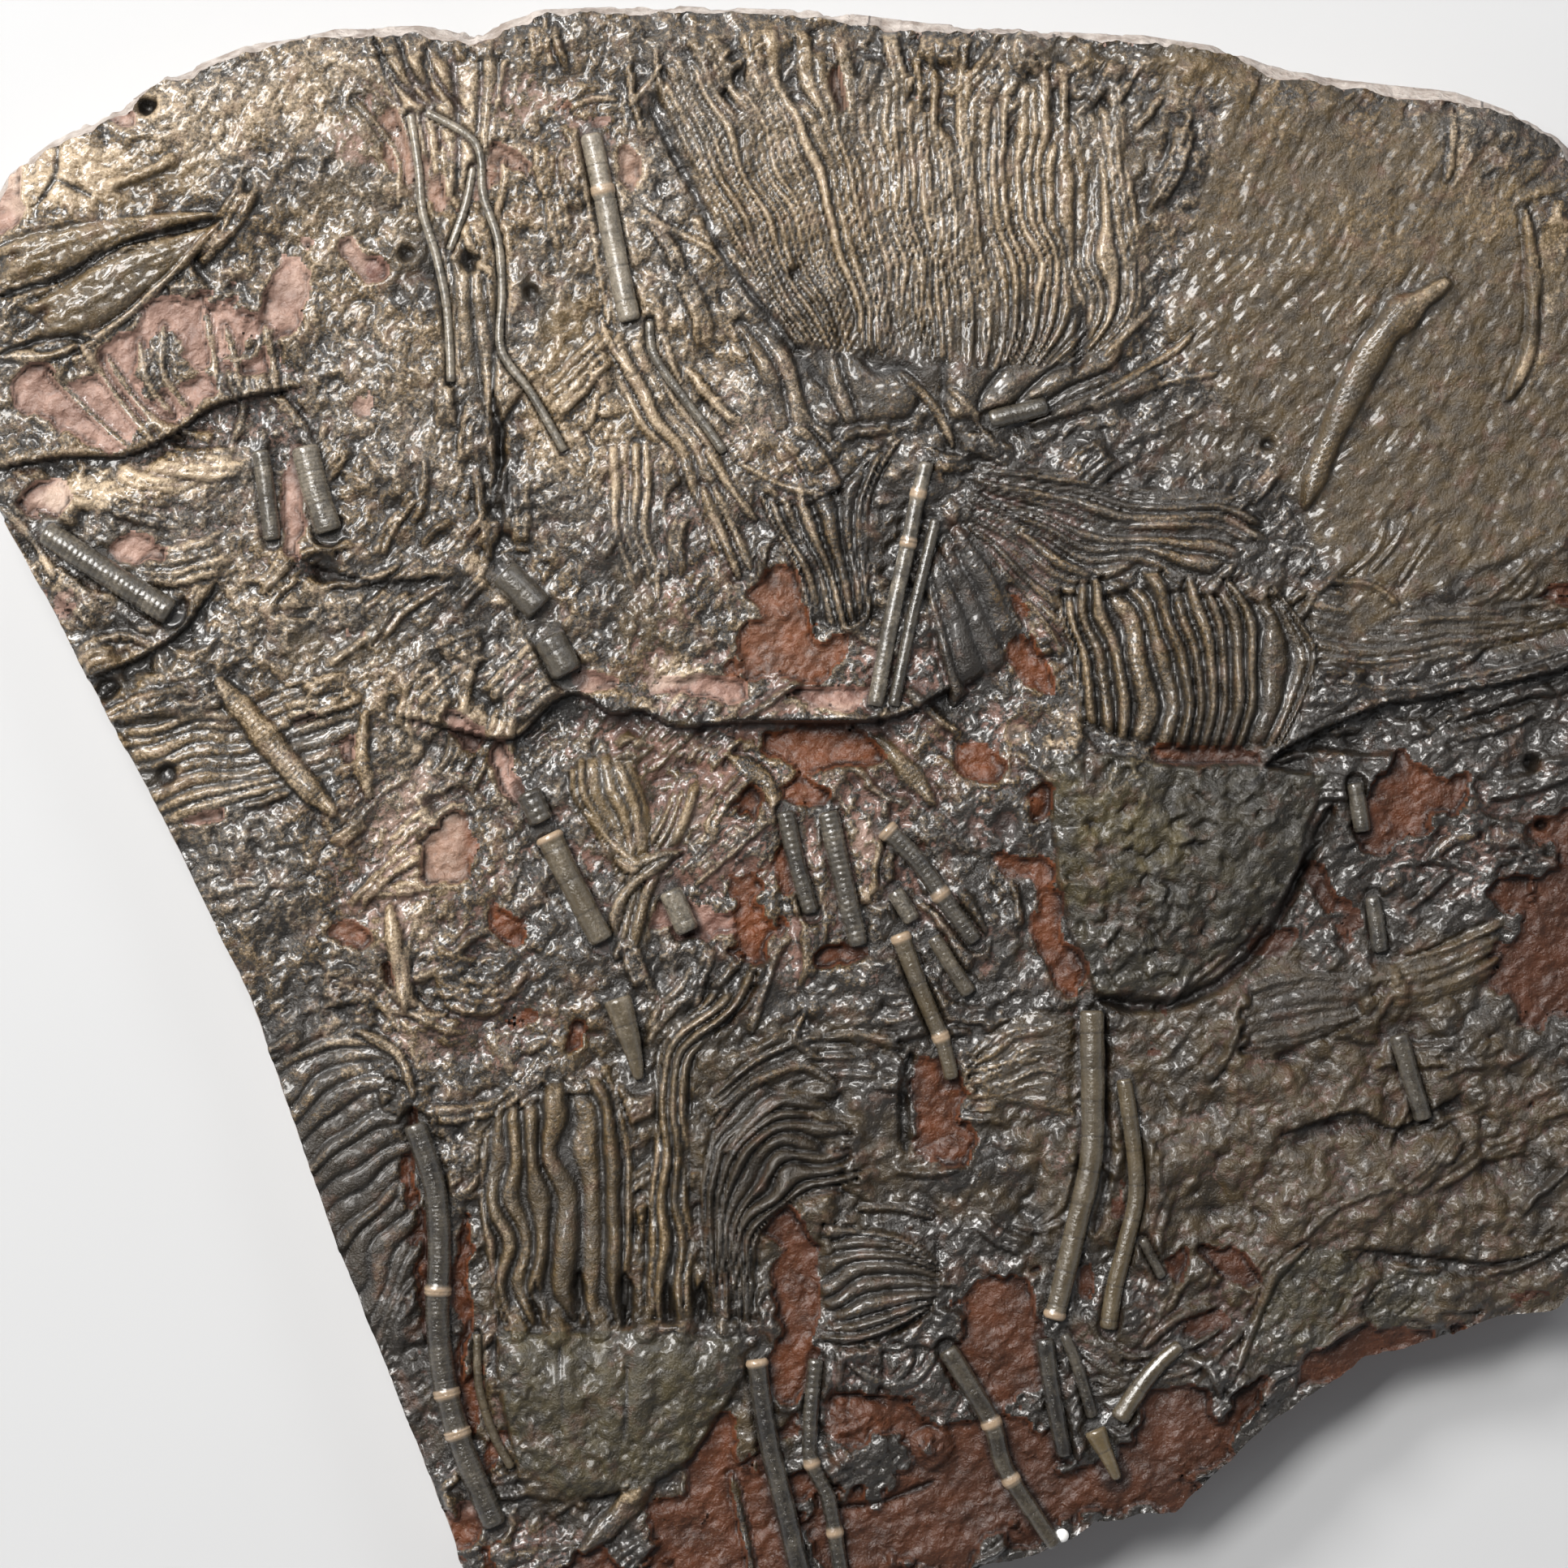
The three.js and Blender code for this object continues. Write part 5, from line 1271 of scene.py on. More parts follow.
def tints(px, py):
    """Two layers for points on the face: (pale, gold, dusty, rock) and (hollow, deep, groove shade, matte);
    pale carries painted sheen and shade, and hollow, deep and groove shade give painted shade in recesses
    and painted highlight on ridges.
    """
    pale = sample(KIND, px, py) + sample(LIGHT, px, py) - 0.8 * sample(SHADE, px, py)
    # painted sheen towards the north-west and painted shade towards the south-east, a gradient of the light
    # across the face
    drift = np.clip((py - px) / 200, -1, 1)
    pale = pale + np.where(drift > 0, PAINTED_SHEEN_RISE, PAINTED_SHADE_FALL) * drift
    pale = pale * 0.5 + 0.5
    gold = sample(GLOW, px, py)
    red = sample(RED, px, py)
    pink = sample(PINK, px, py)
    dusty = np.clip(0.5 + 0.5 * (pink - red), 0, 1)
    rock = sample(ROCKY, px, py)
    tint = np.stack([pale, gold, dusty, rock], 1)
    relief = np.stack([sample(HOLLOW, px, py) * 0.5 + 0.5, sample(DEEP, px, py) * 0.5 + 0.5,
                       sample(GROOVE_SHADE, px, py), sample(MATTE, px, py)], 1)
    return {"tint": np.clip(tint, 0, 1), "relief": np.clip(relief, 0, 1)}


# =====================================================================================
# materials
# =====================================================================================
# ---- colours, in linear red, green and blue
RED_DEEP = (0.045, 0.013, 0.004)
RED_BRIGHT = (0.130, 0.036, 0.010)
RED_GRAIN = (0.165, 0.062, 0.026)
PALE_GRAIN = (0.34, 0.24, 0.17)
DUST_DEEP = (0.10, 0.042, 0.030)
DUST_PALE = (0.30, 0.18, 0.14)
ROCK_PALE_AND_SHEEN = (0.50, 0.38, 0.30)
ROCK_SHADED = (0.022, 0.012, 0.009)
ROCK_CREVICE_SHADE = (0.010, 0.006, 0.005)
RUST = (0.082, 0.034, 0.015)
FOSSIL_GROOVE_SHADE = (0.007, 0.005, 0.003)
BREAK_DULL = (0.22, 0.18, 0.15)
BREAK_PALE = (0.50, 0.45, 0.41)
EARTH_DULL = (0.13, 0.062, 0.042)
EARTH_PALE = (0.27, 0.14, 0.10)
FLANK_STAIN = (0.20, 0.15, 0.13)
STEM_DARK = (0.013, 0.011, 0.009)
STEM_MID = (0.080, 0.068, 0.050)
STEM_PALE = (0.34, 0.29, 0.22)
STEM_GOLD = (0.115, 0.080, 0.034)
STEM_JOINT = (0.36, 0.26, 0.17)
STEM_RINGS_AND_SHADE = (0.015, 0.012, 0.010)
BEAD_DULL = (0.78, 0.76, 0.72)
BEAD_WHITE = (0.93, 0.92, 0.9)
FLOOR_LOW = (0.445, 0.448, 0.454)
FLOOR_HIGH = (0.463, 0.466, 0.472)
GREYING = (1.15, 1.0, 0.82)      # the grey parts of the arms, against their own brightness


class Nodes:
    """Short way to write a node tree."""

    def __init__(self, name):
        self.material = bpy.data.materials.new(name)
        self.material.use_nodes = True
        self.tree = self.material.node_tree
        self.shader = self.tree.nodes["Principled BSDF"]
        self.where = self.add("ShaderNodeTexCoord").outputs["Object"]

    def add(self, kind, **values):
        node = self.tree.nodes.new(kind)
        for key, value in values.items():
            setattr(node, key, value)
        return node

    def link(self, source, target):
        self.tree.links.new(source, target)

    def layer(self, name):
        node = self.add("ShaderNodeAttribute", attribute_name=name)
        split = self.add("ShaderNodeSeparateColor")
        self.link(node.outputs["Color"], split.inputs[0])
        return [split.outputs[0], split.outputs[1], split.outputs[2], node.outputs["Alpha"]]

    def noise(self, size_mm, detail=3, roughness=0.55):
        node = self.add("ShaderNodeTexNoise")
        node.inputs["Scale"].default_value = 1 / (size_mm * MM)
        node.inputs["Detail"].default_value = detail
        node.inputs["Roughness"].default_value = roughness
        self.link(self.where, node.inputs["Vector"])
        return node.outputs["Fac"]

    def creases(self, size_mm, detail=4):
        node = self.add("ShaderNodeTexNoise", noise_type="RIDGED_MULTIFRACTAL", normalize=True)
        node.inputs["Scale"].default_value = 1 / (size_mm * MM)
        node.inputs["Detail"].default_value = detail
        node.inputs["Roughness"].default_value = 0.6
        node.inputs["Distortion"].default_value = 0.35
        self.link(self.where, node.inputs["Vector"])
        return node.outputs["Fac"]

    def spread(self, value, low, high, to_low=0.0, to_high=1.0):
        node = self.add("ShaderNodeMapRange")
        self.link(value, node.inputs[0])
        for socket, number in zip((1, 2, 3, 4), (low, high, to_low, to_high)):
            node.inputs[socket].default_value = number
        return node.outputs[0]

    def math(self, operation, a, b, clamp=False):
        node = self.add("ShaderNodeMath", operation=operation, use_clamp=clamp)
        for socket, value in ((0, a), (1, b)):
            if isinstance(value, (int, float)):
                node.inputs[socket].default_value = value
            else:
                self.link(value, node.inputs[socket])
        return node.outputs[0]

    def mix(self, factor, a, b):
        node = self.add("ShaderNodeMix", data_type="RGBA")
        for socket, value in ((0, factor), (6, a), (7, b)):
            if isinstance(value, (int, float)):
                node.inputs[socket].default_value = value
            elif isinstance(value, tuple):
                node.inputs[socket].default_value = (*value, 1)
            else:
                self.link(value, node.inputs[socket])
        return node.outputs[2]

    def bump(self, height, distance_mm, strength, normal=None):
        node = self.add("ShaderNodeBump")
        node.inputs["Strength"].default_value = strength
        node.inputs["Distance"].default_value = distance_mm * MM
        self.link(height, node.inputs["Height"])
        if normal:
            self.link(normal, node.inputs["Normal"])
        return node.outputs[0]

    def finish(self, colour, roughness, normal, specular=0.5, coat=0.0):
        self.link(colour, self.shader.inputs["Base Color"])
        self.link(roughness, self.shader.inputs["Roughness"])
        self.link(normal, self.shader.inputs["Normal"])
        self.shader.inputs["Specular IOR Level"].default_value = specular
        if coat is not None:
            self.shader.inputs["Coat Weight"].default_value = coat
        self.shader.inputs["Coat Roughness"].default_value = 0.17
        return self.material


def rock_colour(n, tint, relief):
    """Red-brown siltstone, pink where it is dusty, with painted shade in its hollows and grooves; paler and
    darker with the pale tone, which carries painted sheen and shade.
    """
    blotch = n.noise(9, 4, 0.6)
    fine = n.noise(1.0, 4, 0.65)
    red = n.mix(n.spread(blotch, 0.35, 0.65), RED_DEEP, RED_BRIGHT)
    red = n.mix(n.spread(fine, 0.42, 0.75, 0, 0.5), red, RED_GRAIN)
    red = n.mix(n.spread(n.noise(0.7, 2, 0.6), 0.6, 0.72, 0, 0.3), red, PALE_GRAIN)
    dusty = n.mix(n.spread(blotch, 0.35, 0.65), DUST_DEEP, DUST_PALE)
    colour = n.mix(n.spread(tint[2], 0.35, 0.65), red, dusty)
    # where the pale tone is high the rock turns paler, partly its own paler patches and partly painted
    # sheen; where it is low it turns darker, partly darker patches and partly painted shade
    colour = n.mix(n.spread(tint[0], 0.5, 1.0, 0.0, 0.75), colour, ROCK_PALE_AND_SHEEN)
    colour = n.mix(n.spread(tint[0], 0.5, 0.0, 0.0, 0.7), colour, ROCK_SHADED)
    # painted shade in the grooves, cracks and hollows
    crevice_shade = n.math("MAXIMUM", relief[2], n.spread(relief[0], 0.58, 0.95, 0.0, 0.95))
    return n.mix(n.math("MULTIPLY", crevice_shade, 0.85), colour, ROCK_CREVICE_SHADE)


def fossil_colour(n, tint, relief, dark, mid, pale, gold):
    """Varnished calcite: painted shade in the grooves and hollows, painted highlight on the ridges,
    gold-olive in places.
    """
    mottle = n.noise(7, 4, 0.6)
    fleck = n.noise(0.9, 3, 0.65)
    tone = n.math("ADD", n.spread(tint[0], 0.0, 1.0, -0.6, 0.8), n.spread(mottle, 0.3, 0.7, -0.16, 0.32))
    tone = n.math("ADD", tone, n.spread(fleck, 0.35, 0.65, -0.28, 0.3))
    # painted highlight on the ridges and painted shade in the hollows
    tone = n.math("ADD", tone, n.spread(relief[0], 0.25, 0.75, 0.15, -0.42), clamp=True)
    grey = n.spread(n.noise(28, 3, 0.6), 0.42, 0.6, 0.0, 0.7)
    mid = n.mix(grey, mid, tuple(sum(mid) / 3 * k for k in GREYING))
    colour = n.mix(n.spread(tone, 0.0, 0.45), dark, mid)
    colour = n.mix(n.spread(tone, 0.4, 1.0), colour, pale)
    warm = n.math("MULTIPLY", tint[1], n.spread(n.noise(4, 3), 0.35, 0.65, 0.3, 1.0), clamp=True)
    colour = n.mix(n.math("MULTIPLY", warm, 0.75), colour, gold)
    rust = n.spread(n.noise(7, 4, 0.65), 0.54, 0.7, 0.0, 0.6)
    colour = n.mix(rust, colour, RUST)
    # painted shade in the grooves, cracks and broad hollows
    crevice_shade = n.math("MAXIMUM", relief[2], n.spread(relief[1], 0.55, 0.95))
    return n.mix(n.math("MULTIPLY", crevice_shade, 0.92), colour, FOSSIL_GROOVE_SHADE)


def face_material(name, dark, mid, pale, gold, gloss):
    """A piece of the fossil face; near bare rock it takes on the colour of the rock."""
    n = Nodes(name)
    tint = n.layer("tint")
    relief = n.layer("relief")
    fossil = fossil_colour(n, tint, relief, dark, mid, pale, gold)
    rock = n.math("ADD", tint[3], n.spread(n.noise(1.3, 3, 0.65), 0.3, 0.7, -0.3, 0.3), clamp=True)
    rock = n.spread(rock, 0.3, 0.7)
    colour = n.mix(rock, fossil, rock_colour(n, tint, relief))
    rough = n.spread(n.noise(2.2, 3), 0.3, 0.7, gloss, gloss + 0.18)
    rough = n.math("ADD", rough, n.math("MULTIPLY", rock, 0.12))
    rough = n.math("ADD", rough, n.math("MULTIPLY", relief[3], 0.16), clamp=True)
    normal = n.bump(n.creases(1.5), 0.4, 0.4)
    normal = n.bump(n.noise(0.65, 3, 0.65), 0.55, 0.85, normal)
    n.link(n.spread(relief[3], 0.0, 1.0, 0.62, 0.0), n.shader.inputs["Coat Weight"])
    return n.finish(colour, rough, normal, 0.6, None)


def rock_material():
    """The matrix: the same rock on its face, paler on the broken and sawn sides."""
    n = Nodes("siltstone")
    tint = n.layer("tint")
    relief = n.layer("relief")
    side = n.layer("side")
    colour = rock_colour(n, tint, relief)
    broken = n.mix(n.spread(n.noise(5, 4, 0.6), 0.35, 0.65), BREAK_DULL, BREAK_PALE)
    earthy = n.mix(n.spread(n.noise(6, 4, 0.6), 0.35, 0.65), EARTH_DULL, EARTH_PALE)
    flank = n.mix(side[1], earthy, broken)
    flank = n.mix(n.spread(n.noise(1.4, 4, 0.7), 0.3, 0.8, 0.0, 0.5), flank, FLANK_STAIN)
    colour = n.mix(side[0], colour, flank)
    gloss = n.spread(n.noise(2.2, 3), 0.3, 0.7, 0.34, 0.6)
    rough = n.math("ADD", gloss, n.math("MULTIPLY", side[0], 0.25), clamp=True)
    normal = n.bump(n.creases(1.7), 0.6, 0.7)
    normal = n.bump(n.noise(0.55, 2, 0.6), 0.35, 0.7, normal)
    return n.finish(colour, rough, normal, 0.32, 0.05)


def stem_material():
    """Stem calcite: smooth olive-grey with fine dark rings, pale at its swollen joints, with painted shade
    on its lower flanks.
    """
    n = Nodes("stem_calcite")
    tint = n.layer("tint")
    relief = n.layer("relief")
    mottle = n.noise(5, 4, 0.6)
    fleck = n.noise(0.8, 3, 0.6)
    tone = n.math("ADD", n.spread(tint[0], 0.0, 1.0, -0.25, 0.95), n.spread(mottle, 0.3, 0.7, -0.1, 0.28))
    tone = n.math("ADD", tone, n.spread(fleck, 0.35, 0.65, -0.08, 0.1), clamp=True)
    colour = n.mix(n.spread(tone, 0.0, 0.5), STEM_DARK, STEM_MID)
    colour = n.mix(n.spread(tone, 0.45, 1.0), colour, STEM_PALE)
    colour = n.mix(n.math("MULTIPLY", tint[1], 0.8), colour, STEM_GOLD)
    colour = n.mix(tint[2], colour, STEM_JOINT)
    # dark ring lines and joints, and painted shade on the lower flanks
    colour = n.mix(n.math("MULTIPLY", relief[2], 0.8), colour, STEM_RINGS_AND_SHADE)
    rough = n.spread(n.noise(2.5, 3), 0.3, 0.7, 0.16, 0.3)
    normal = n.bump(n.noise(1.4, 4, 0.6), 0.5, 0.5)
    normal = n.bump(n.noise(0.5, 2, 0.6), 0.2, 0.5, normal)
    return n.finish(colour, rough, normal, 0.75, 0.5)


ARM_SKIN = face_material("arm_calcite", (0.011, 0.007, 0.003), (0.114, 0.071, 0.026),
                         (0.46, 0.35, 0.23), (0.130, 0.080, 0.022), 0.23)
CUP_SKIN = face_material("cup_calcite", (0.008, 0.006, 0.003), (0.044, 0.033, 0.015),
                         (0.24, 0.18, 0.09), (0.105, 0.076, 0.018), 0.27)
ROCK_SKIN = rock_material()
STEM_SKIN = stem_material()


# =====================================================================================
# sheets of debris, crowns and cups
# =====================================================================================
def sheet_mesh(name, mask, material, replaces=None):
    """The cells of the face in mask as one sheet whose edge turns down into the rock."""
    j, i = np.nonzero(mask)
    if not len(j):
        return
    base = j * GCOLUMNS + i
    quads = np.stack([base, base + 1, base + GCOLUMNS + 1, base + GCOLUMNS], 1)
    used, flat = np.unique(quads, return_inverse=True)
    quads = flat.reshape(quads.shape)
    px, py, pz = PX.ravel()[used], PY.ravel()[used], PZ.ravel()[used]
    edges = np.concatenate([quads[:, [k, (k + 1) % 4]] for k in range(4)])
    key = np.sort(edges, 1)
    order = key[:, 0].astype(np.int64) * len(used) + key[:, 1]
    _, first, count = np.unique(order, return_index=True, return_counts=True)
    border = edges[first[count == 1]]
    rim = np.unique(border)
    lower = np.full(len(used), -1)
    lower[rim] = len(used) + np.arange(len(rim))
    skirt = np.stack([border[:, 1], border[:, 0], lower[border[:, 0]], lower[border[:, 1]]], 1)
    verts = np.stack([px, py, pz], 1)
    foot = verts[rim].copy()
    foot[:, 2] -= SKIRT
    layers = {k: np.concatenate([v, v[rim]]) for k, v in tints(px, py).items()}
    normals = NORMALS[used]
    normals = np.concatenate([normals, normals[rim]])
    new_mesh(name, np.concatenate([verts, foot]), np.concatenate([quads, skirt]), layers,
             material, replaces, normals)


cell_owner = owner[:-1, :-1]
for index, name in enumerate(NAMES):
    if index < 2:
        continue
    is_cup = name in CUPS
    sheet_mesh(name + "_face", cells & (cell_owner == index), CUP_SKIN if is_cup else ARM_SKIN,
               name)
# the debris is cut into six fields: where the cuts run, and the name of each (column, row)
THIRDS = [WEST, -75, 40, EAST]
HALVES = [SOUTH, 30, NORTH]
PLACE_NAMES = {(0, 0): "south_west", (1, 0): "south", (2, 0): "south_east",
               (0, 1): "north_west", (1, 1): "north", (2, 1): "north_east"}
cx, cy = GX[:-1, :-1], GY[:-1, :-1]
for (a, b), place in PLACE_NAMES.items():
    zone = (cx >= THIRDS[a]) & (cx < THIRDS[a + 1]) & (cy >= HALVES[b]) & (cy < HALVES[b + 1])
    sheet_mesh("arm_debris_" + place, cells & (cell_owner == 1) & zone, ARM_SKIN)


# =====================================================================================
# the matrix: fine cells where it shows, coarse cells where it is covered, broken sides
# =====================================================================================
def spread_mask(mask, steps):
    """The mask grown by some cells each way."""
    grown = mask.copy()
    for _ in range(steps):
        wider = grown.copy()
        wider[1:] |= grown[:-1]
        wider[:-1] |= grown[1:]
        wider[:, 1:] |= grown[:, :-1]
        wider[:, :-1] |= grown[:, 1:]
        grown = wider
    return grown


def matrix_faces():
    """Polygons of the bedding: blocks of COARSE cells, opened into single cells where rock shows."""
    fine = spread_mask(cells & (cell_owner == 0), 1)
    rows, columns = cells.shape
    tall, wide = rows // COARSE, columns // COARSE
    block = cells[: tall * COARSE, : wide * COARSE].reshape(tall, COARSE, wide, COARSE)
    whole = block.all((1, 3))
    shows = fine[: tall * COARSE, : wide * COARSE].reshape(tall, COARSE, wide, COARSE).any((1, 3))
    coarse = whole & ~shows
    open_cells = cells.copy()
    big = np.kron(coarse, np.ones((COARSE, COARSE), bool))
    open_cells[: tall * COARSE, : wide * COARSE] &= ~big
    j, i = np.nonzero(open_cells)
    base = j * GCOLUMNS + i
    faces = np.stack([base, base + 1, base + GCOLUMNS + 1, base + GCOLUMNS], 1).tolist()
    padded = np.pad(coarse, 1)
    for r, c in zip(*np.nonzero(coarse)):
        y0, x0 = r * COARSE, c * COARSE
        y1, x1 = y0 + COARSE, x0 + COARSE
        south, east = padded[r, c + 1], padded[r + 1, c + 2]
        north, west = padded[r + 2, c + 1], padded[r + 1, c]
        loop = [(y0, x) for x in (range(x0, x1) if not south else (x0,))]
        loop += [(y, x1) for y in (range(y0, y1) if not east else (y0,))]
        loop += [(y1, x) for x in (range(x1, x0, -1) if not north else (x1,))]
        loop += [(y, x0) for y in (range(y1, y0, -1) if not west else (y1,))]
        faces.append([y * GCOLUMNS + x for y, x in loop])
    return faces


def border_loop(faces):
    """The one outer border of the bedding, in order, anticlockwise."""
    follow = {}
    for face in faces:
        for a, b in zip(face, face[1:] + face[:1]):
            if (b, a) in follow:
                del follow[(b, a)]
            else:
                follow[(a, b)] = True
    after = dict(follow.keys())
    start = next(iter(after))
    loop = [start]
    while after[loop[-1]] != start:
        loop.append(after[loop[-1]])
    return loop


def build_matrix():
    """The slab of rock: bedding on top, sides below its border, flat underside."""
    faces = matrix_faces()
    loop = border_loop(faces)
    used = sorted({v for face in faces for v in face})
    index = {v: k for k, v in enumerate(used)}
    faces = [[index[v] for v in face] for face in faces]
    loop = [index[v] for v in loop]
    used = np.array(used)
    px, py = PX.ravel()[used], PY.ravel()[used]
    top = PZ.ravel()[used]
    bare = np.zeros(GX.shape, bool)
    bare_cells = cells & (cell_owner == 0)
    for dj in (0, 1):
        for di in (0, 1):
            bare[dj:dj + bare_cells.shape[0], di:di + bare_cells.shape[1]] |= bare_cells
    bare = bare.ravel()[used]
    pz = np.where(bare, top, sample(lowest(H), px, py) - TUCK)
    rim = np.zeros(len(used), bool)
    rim[loop] = True
    pz = np.where(rim, top, pz)
    # the sides: levels below the rim, each set out or in from it along the outline's slope
    lx, ly, lz = px[loop], py[loop], pz[loop]
    slope_y, slope_x = np.gradient(blur(OUTLINE, 6), STEP)
    out_x, out_y = -sample(slope_x, lx, ly), -sample(slope_y, lx, ly)
    length = np.maximum(np.hypot(out_x, out_y), 1e-3)
    out_x, out_y = out_x / length, out_y / length
    to_outline = sample(OUTLINE, lx, ly)
    rough = sample(BREAK, lx, ly)
    south = smooth(1.0, 0.4, sample(RIM, lx, ly))
    arc = np.concatenate([[0], np.cumsum(np.hypot(np.diff(lx), np.diff(ly)))])
    levels = np.linspace(0, 1, SIDE_LEVELS + 1)[1:]
    rings = []
    for level in levels:
        z = lz * (1 - level)
        flare = smooth(0, 0.42, level) * to_outline * (1 - south) - 5 * level * south
        facets = noise(arc / 7, z / 5, 81) + 0.5 * noise(arc / 2.5, z / 2, 82) - 0.75
        inward = np.minimum(facets * rough * 2.2 * math.sin(math.pi * min(level * 1.3, 1)), 0.0)
        rings.append(np.stack([lx + out_x * (flare + inward), ly + out_y * (flare + inward), z], 1))
    sawn = smooth(0.5, 0.15, rough)
    north = smooth(1.3, 1.45, rough)
    pale = np.maximum(sawn * 0.95, north)
    count = len(loop)
    verts = np.concatenate([np.stack([px, py, pz], 1)] + rings)
    side = np.zeros((len(verts), 3), np.float32)
    side[loop, 0] = 0.5 * np.maximum(pale, 0.4)
    side[loop, 1] = pale
    tops = tints(px, py)
    blank = np.tile(np.array([[0.5, 0, 0, 1]], np.float32), (count * len(levels), 1))
    flat = np.tile(np.array([[0.5, 0.5, 0, 0]], np.float32), (count * len(levels), 1))
    side[len(used):, 0] = 1
    side[len(used):, 1] = np.tile(pale, len(levels))
    layers = {"tint": np.concatenate([tops["tint"], blank]),
              "relief": np.concatenate([tops["relief"], flat]), "side": side}
    previous = loop
    for k in range(len(levels)):
        current = [len(used) + k * count + m for m in range(count)]
        for m in range(count):
            n = (m + 1) % count
            faces.append([previous[m], current[m], current[n], previous[n]])
        previous = current
    faces.append(previous[::-1])
    normals = np.zeros((len(verts), 3))
    normals[: len(used)] = NORMALS[used]
    normals[: len(used)][~bare] = (0, 0, 1)
    new_mesh("matrix_slab_rock", verts, faces, layers, ROCK_SKIN, "matrix_slab", normals)


build_matrix()


# =====================================================================================
# stems and single arms: round columns of thin discs
# =====================================================================================
def build_stem(name, spec):
    """A column of discs along a curve, with joints and knots, lying on the bedding."""
    path = spec["path"]
    steps = np.linspace(0, 1, 200)
    rough_line = spline(path, steps)
    travelled = np.concatenate([[0], np.cumsum(np.linalg.norm(np.diff(rough_line, axis=0), axis=1))])
    length = travelled[-1]
    pitch = 0.45
    count = max(8, int(length / pitch))
    along = np.linspace(0, length, count)
    t = np.interp(along, travelled, steps)
    centre = spline(path, t)
    heading = np.gradient(centre, axis=0)
    heading /= np.linalg.norm(heading, axis=1)[:, None]
    r0, r1 = spec["radii"]
    radius = r0 + (r1 - r0) * t
    rings = spec.get("rings", PLAIN_RINGS)
    bold = "rings" in spec
    seed = sum(ord(letter) for letter in name)
    rng = np.random.default_rng(seed)
    groove = 0.5 - 0.5 * np.cos(2 * math.pi * along / rings)
    radius = radius * (1 - (0.055 if bold else 0.016) * (1 - groove))
    joints = smooth(0.97, 1.0, np.cos(2 * math.pi * along / JOINT_SPACING + rng.uniform(0, 6)))
    radius = radius * (1 - 0.03 * joints)
    radius *= 1 + 0.05 * (noise(along / 5, np.zeros(count), seed % 50) - 0.5)
    knot = np.zeros(count)
    for place in spec.get("knots", []):
        knot = np.maximum(knot, smooth(1.5, 0.7, np.abs(along - place * length)))
    radius *= 1 + 0.13 * knot
    ends = np.minimum(along, length - along)
    radius *= 0.82 + 0.18 * smooth(0, 0.8, ends)
    sides = 14 if max(spec["radii"]) < 1.7 else 22
    turn = np.linspace(0, 2 * math.pi, sides, endpoint=False)
    level = BED + spec.get("lift", 0) + max(r0, r1) * 0.72 - spec.get("sink", 0)
    level = level + 0.3 * (noise(along / 14, np.ones(count), 7) - 0.5)
    down, around = np.meshgrid(along / 3, turn * 2, indexing="ij")
    wobble = 1 + 0.05 * (noise(down, around, 9) - 0.5)
    out = radius[:, None] * np.cos(turn)[None] * wobble
    up = radius[:, None] * np.sin(turn)[None] * wobble
    vx = centre[:, :1] - heading[:, 1:] * out
    vy = centre[:, 1:] + heading[:, :1] * out
    vz = level[:, None] + up
    verts = np.stack([vx, vy, vz], 2).reshape(-1, 3)
    a = (np.arange(count - 1)[:, None] * sides + np.arange(sides)[None])
    b = (np.arange(count - 1)[:, None] * sides + (np.arange(sides) + 1)[None] % sides)
    faces = np.stack([a, b, b + sides, a + sides], 2).reshape(-1, 4).tolist()
    faces.append(list(range(sides))[::-1])
    faces.append([(count - 1) * sides + k for k in range(sides)])
    pale = np.repeat(0.35 + spec.get("pale", 0) * 0.6, count)
    pale = pale + 0.12 * (noise(along / 4, np.zeros(count), 13) - 0.5)
    gold = np.repeat(spec.get("gold", 0.0), count) * (0.6 + 0.6 * noise(along / 6, np.zeros(count), 17))
    tint = np.stack([pale, gold, knot * 0.85], 1)
    shade = np.maximum((1 - groove) * (0.5 if bold else 0.14), 0.7 * joints)
    relief = np.stack([np.full(count, 0.5), np.full(count, 0.5), shade], 1)
    layers = {"tint": np.repeat(tint, sides, 0), "relief": np.repeat(relief, sides, 0)}
    # painted shade: the lower flanks, which sink into the debris, are darker
    flank = np.tile(smooth(0.25, -0.5, np.sin(turn)), count)
    layers["relief"][:, 2] = np.maximum(layers["relief"][:, 2], 0.8 * flank)
    new_mesh(name + "_column", verts, faces, layers, STEM_SKIN, name)


for name, spec in STEMS.items():
    build_stem(name, spec)


def build_pearl():
    """A small white bead of calcite in the red rock near the south edge."""
    x, y, radius = PEARL
    bpy.ops.mesh.primitive_ico_sphere_add(subdivisions=4, radius=radius * MM)
    bead = bpy.context.object
    bead.name = "calcite_bead"
    z = float(sample(H, np.array([x]), np.array([y]))[0]) + 0.3 * radius
    bead.data.transform(Matrix.Translation((x * MM, y * MM, z * MM)))
    n = Nodes("bead_calcite")
    white = n.mix(n.spread(n.noise(0.8, 3), 0.35, 0.65), BEAD_DULL, BEAD_WHITE)
    n.finish(white, n.spread(n.noise(0.6, 2), 0.3, 0.7, 0.35, 0.5), n.bump(n.noise(0.5, 2), 0.1, 0.3))
    bead.data.materials.append(n.material)
    bead.data.shade_smooth()
    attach(bead, "root")


build_pearl()


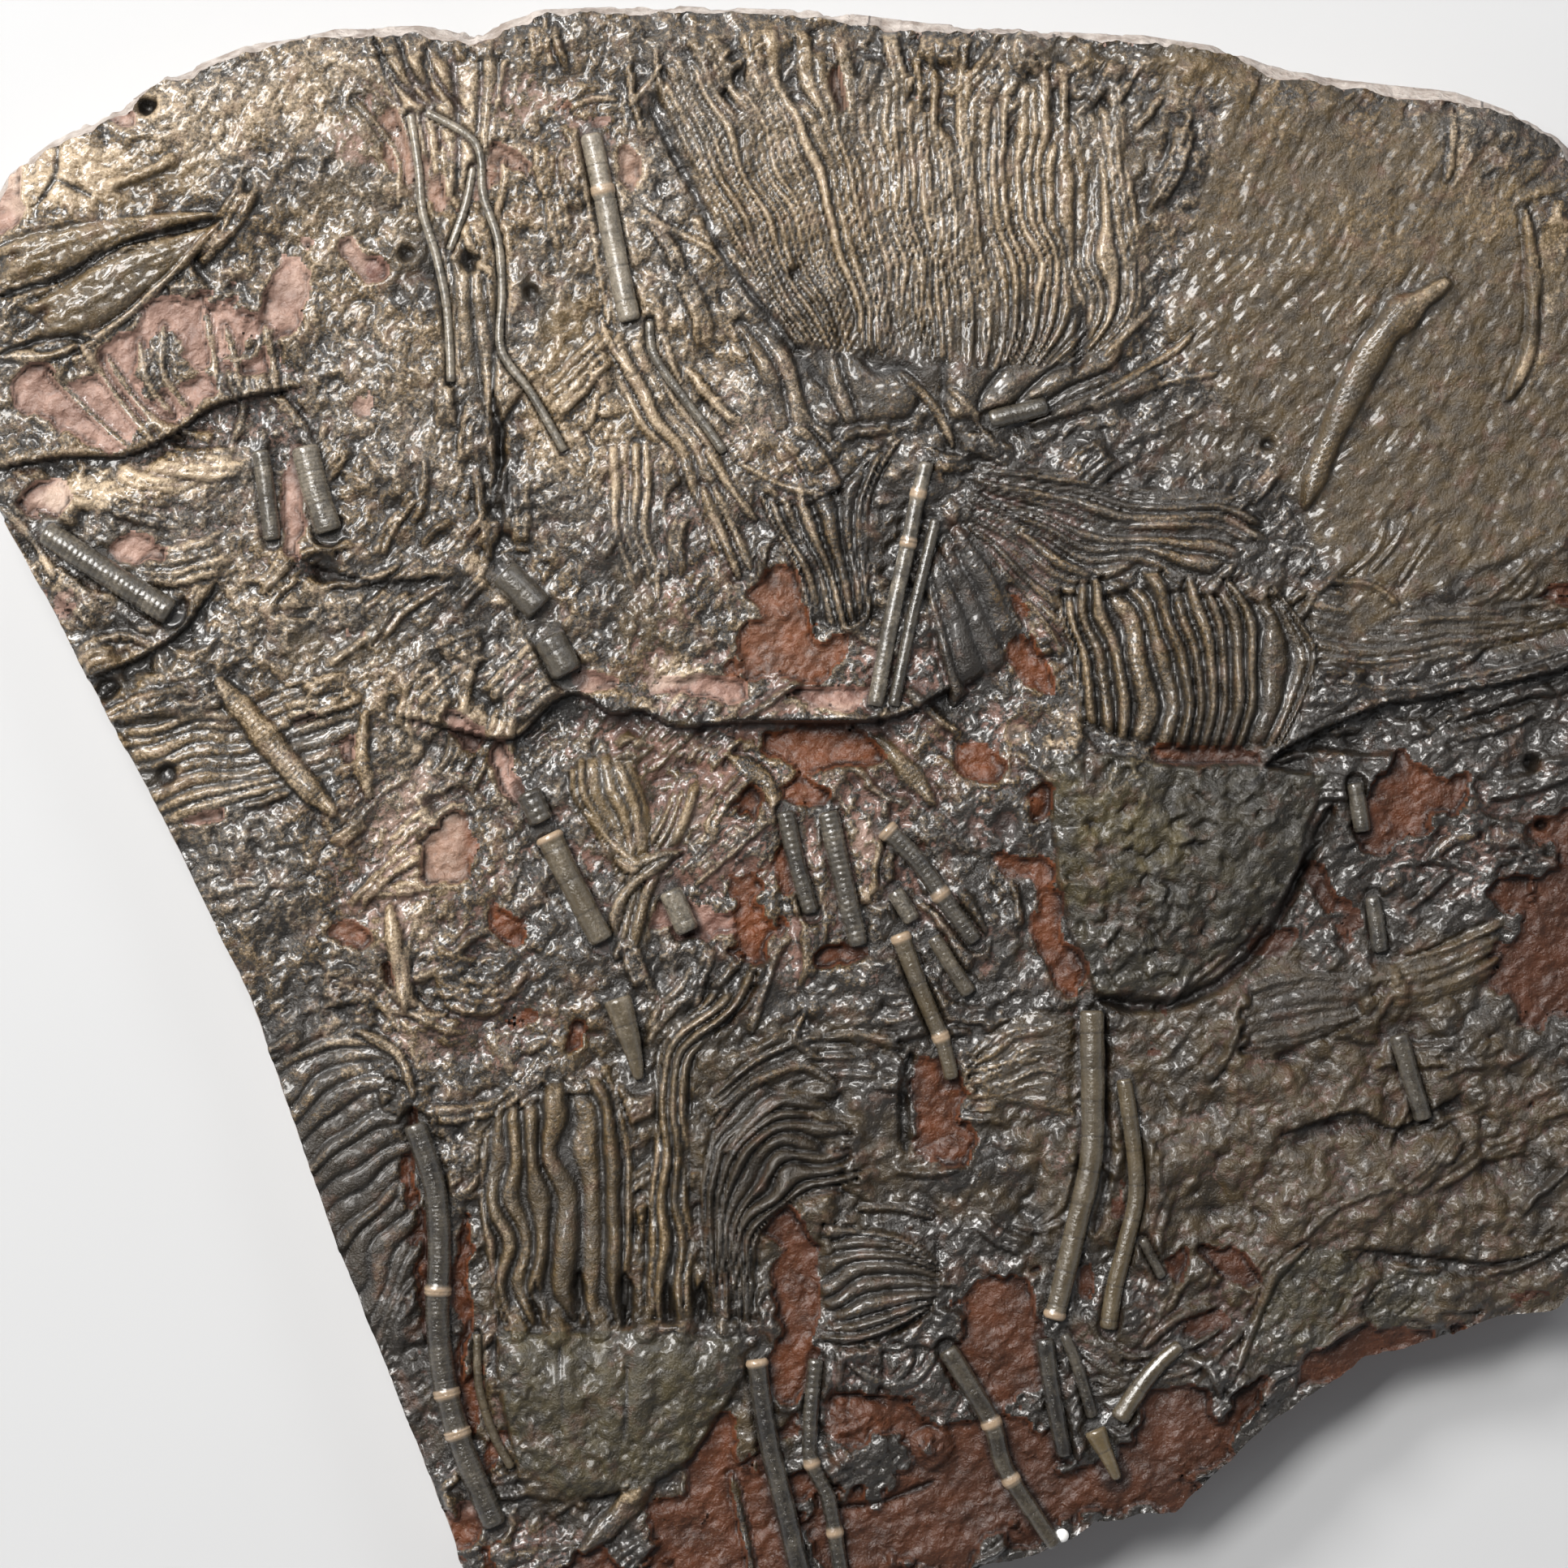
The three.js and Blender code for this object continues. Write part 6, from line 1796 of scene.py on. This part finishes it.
# =====================================================================================
# stage, light, camera
# =====================================================================================
def build_stage():
    bpy.ops.mesh.primitive_plane_add(size=8, location=(0, 0, -0.0005))
    floor = bpy.context.object
    floor.name = "floor"
    n = Nodes("floor_paint")
    n.finish(n.mix(n.spread(n.noise(300, 2), 0.3, 0.7), FLOOR_LOW, FLOOR_HIGH),
             n.spread(n.noise(100, 2), 0.3, 0.7, 0.75, 0.85), n.bump(n.noise(2, 2), 0.05, 0.05), 0.2)
    floor.data.materials.append(n.material)


def area_light(name, place, size, power, colour):
    """A rectangular light, in metres and watts, that points at the origin."""
    data = bpy.data.lights.new(name, "AREA")
    data.shape = "RECTANGLE"
    data.size, data.size_y = size
    data.energy = power
    data.color = colour
    light = bpy.data.objects.new(name, data)
    bpy.context.scene.collection.objects.link(light)
    light.location = place
    aim = -light.location
    light.rotation_euler = aim.to_track_quat("-Z", "Y").to_euler()


def build_lights():
    area_light("key", (-1.8, 1.8, 1.9), (0.8, 0.8), 96, (1, 0.985, 0.965))
    area_light("glare", (-0.5, 0.52, 1.4), (0.7, 0.4), 25, (1, 0.985, 0.96))
    area_light("fill", (0.6, 0.9, 1.1), (0.5, 0.5), 3, (0.97, 0.98, 1))
    world = bpy.data.worlds.new("studio")
    world.use_nodes = True
    tree = world.node_tree
    sky = tree.nodes["Background"]
    sky.inputs[0].default_value = (0.95, 0.97, 1, 1)
    place = tree.nodes.new("ShaderNodeTexCoord")
    split = tree.nodes.new("ShaderNodeSeparateXYZ")
    fall = tree.nodes.new("ShaderNodeMapRange")
    for socket, number in zip((1, 2, 3, 4), (0.0, 0.9, 0.75, 0.12)):
        fall.inputs[socket].default_value = number
    tree.links.new(place.outputs["Generated"], split.inputs[0])
    tree.links.new(split.outputs["Z"], fall.inputs[0])
    tree.links.new(fall.outputs[0], sky.inputs[1])
    bpy.context.scene.world = world


def build_camera():
    data = bpy.data.cameras.new("camera")
    top = cad_high[2] * FACE_SHARE
    data.sensor_width = SENSOR
    data.lens = SENSOR * CAMERA_RISE / (VIEW_WIDTH * MM)
    camera = bpy.data.objects.new("camera", data)
    camera.location = (EYE_X * MM, EYE_Y * MM, top + CAMERA_RISE)
    bpy.context.scene.collection.objects.link(camera)
    bpy.context.scene.camera = camera


build_stage()
build_lights()
build_camera()
bpy.context.scene.view_settings.view_transform = "Standard"
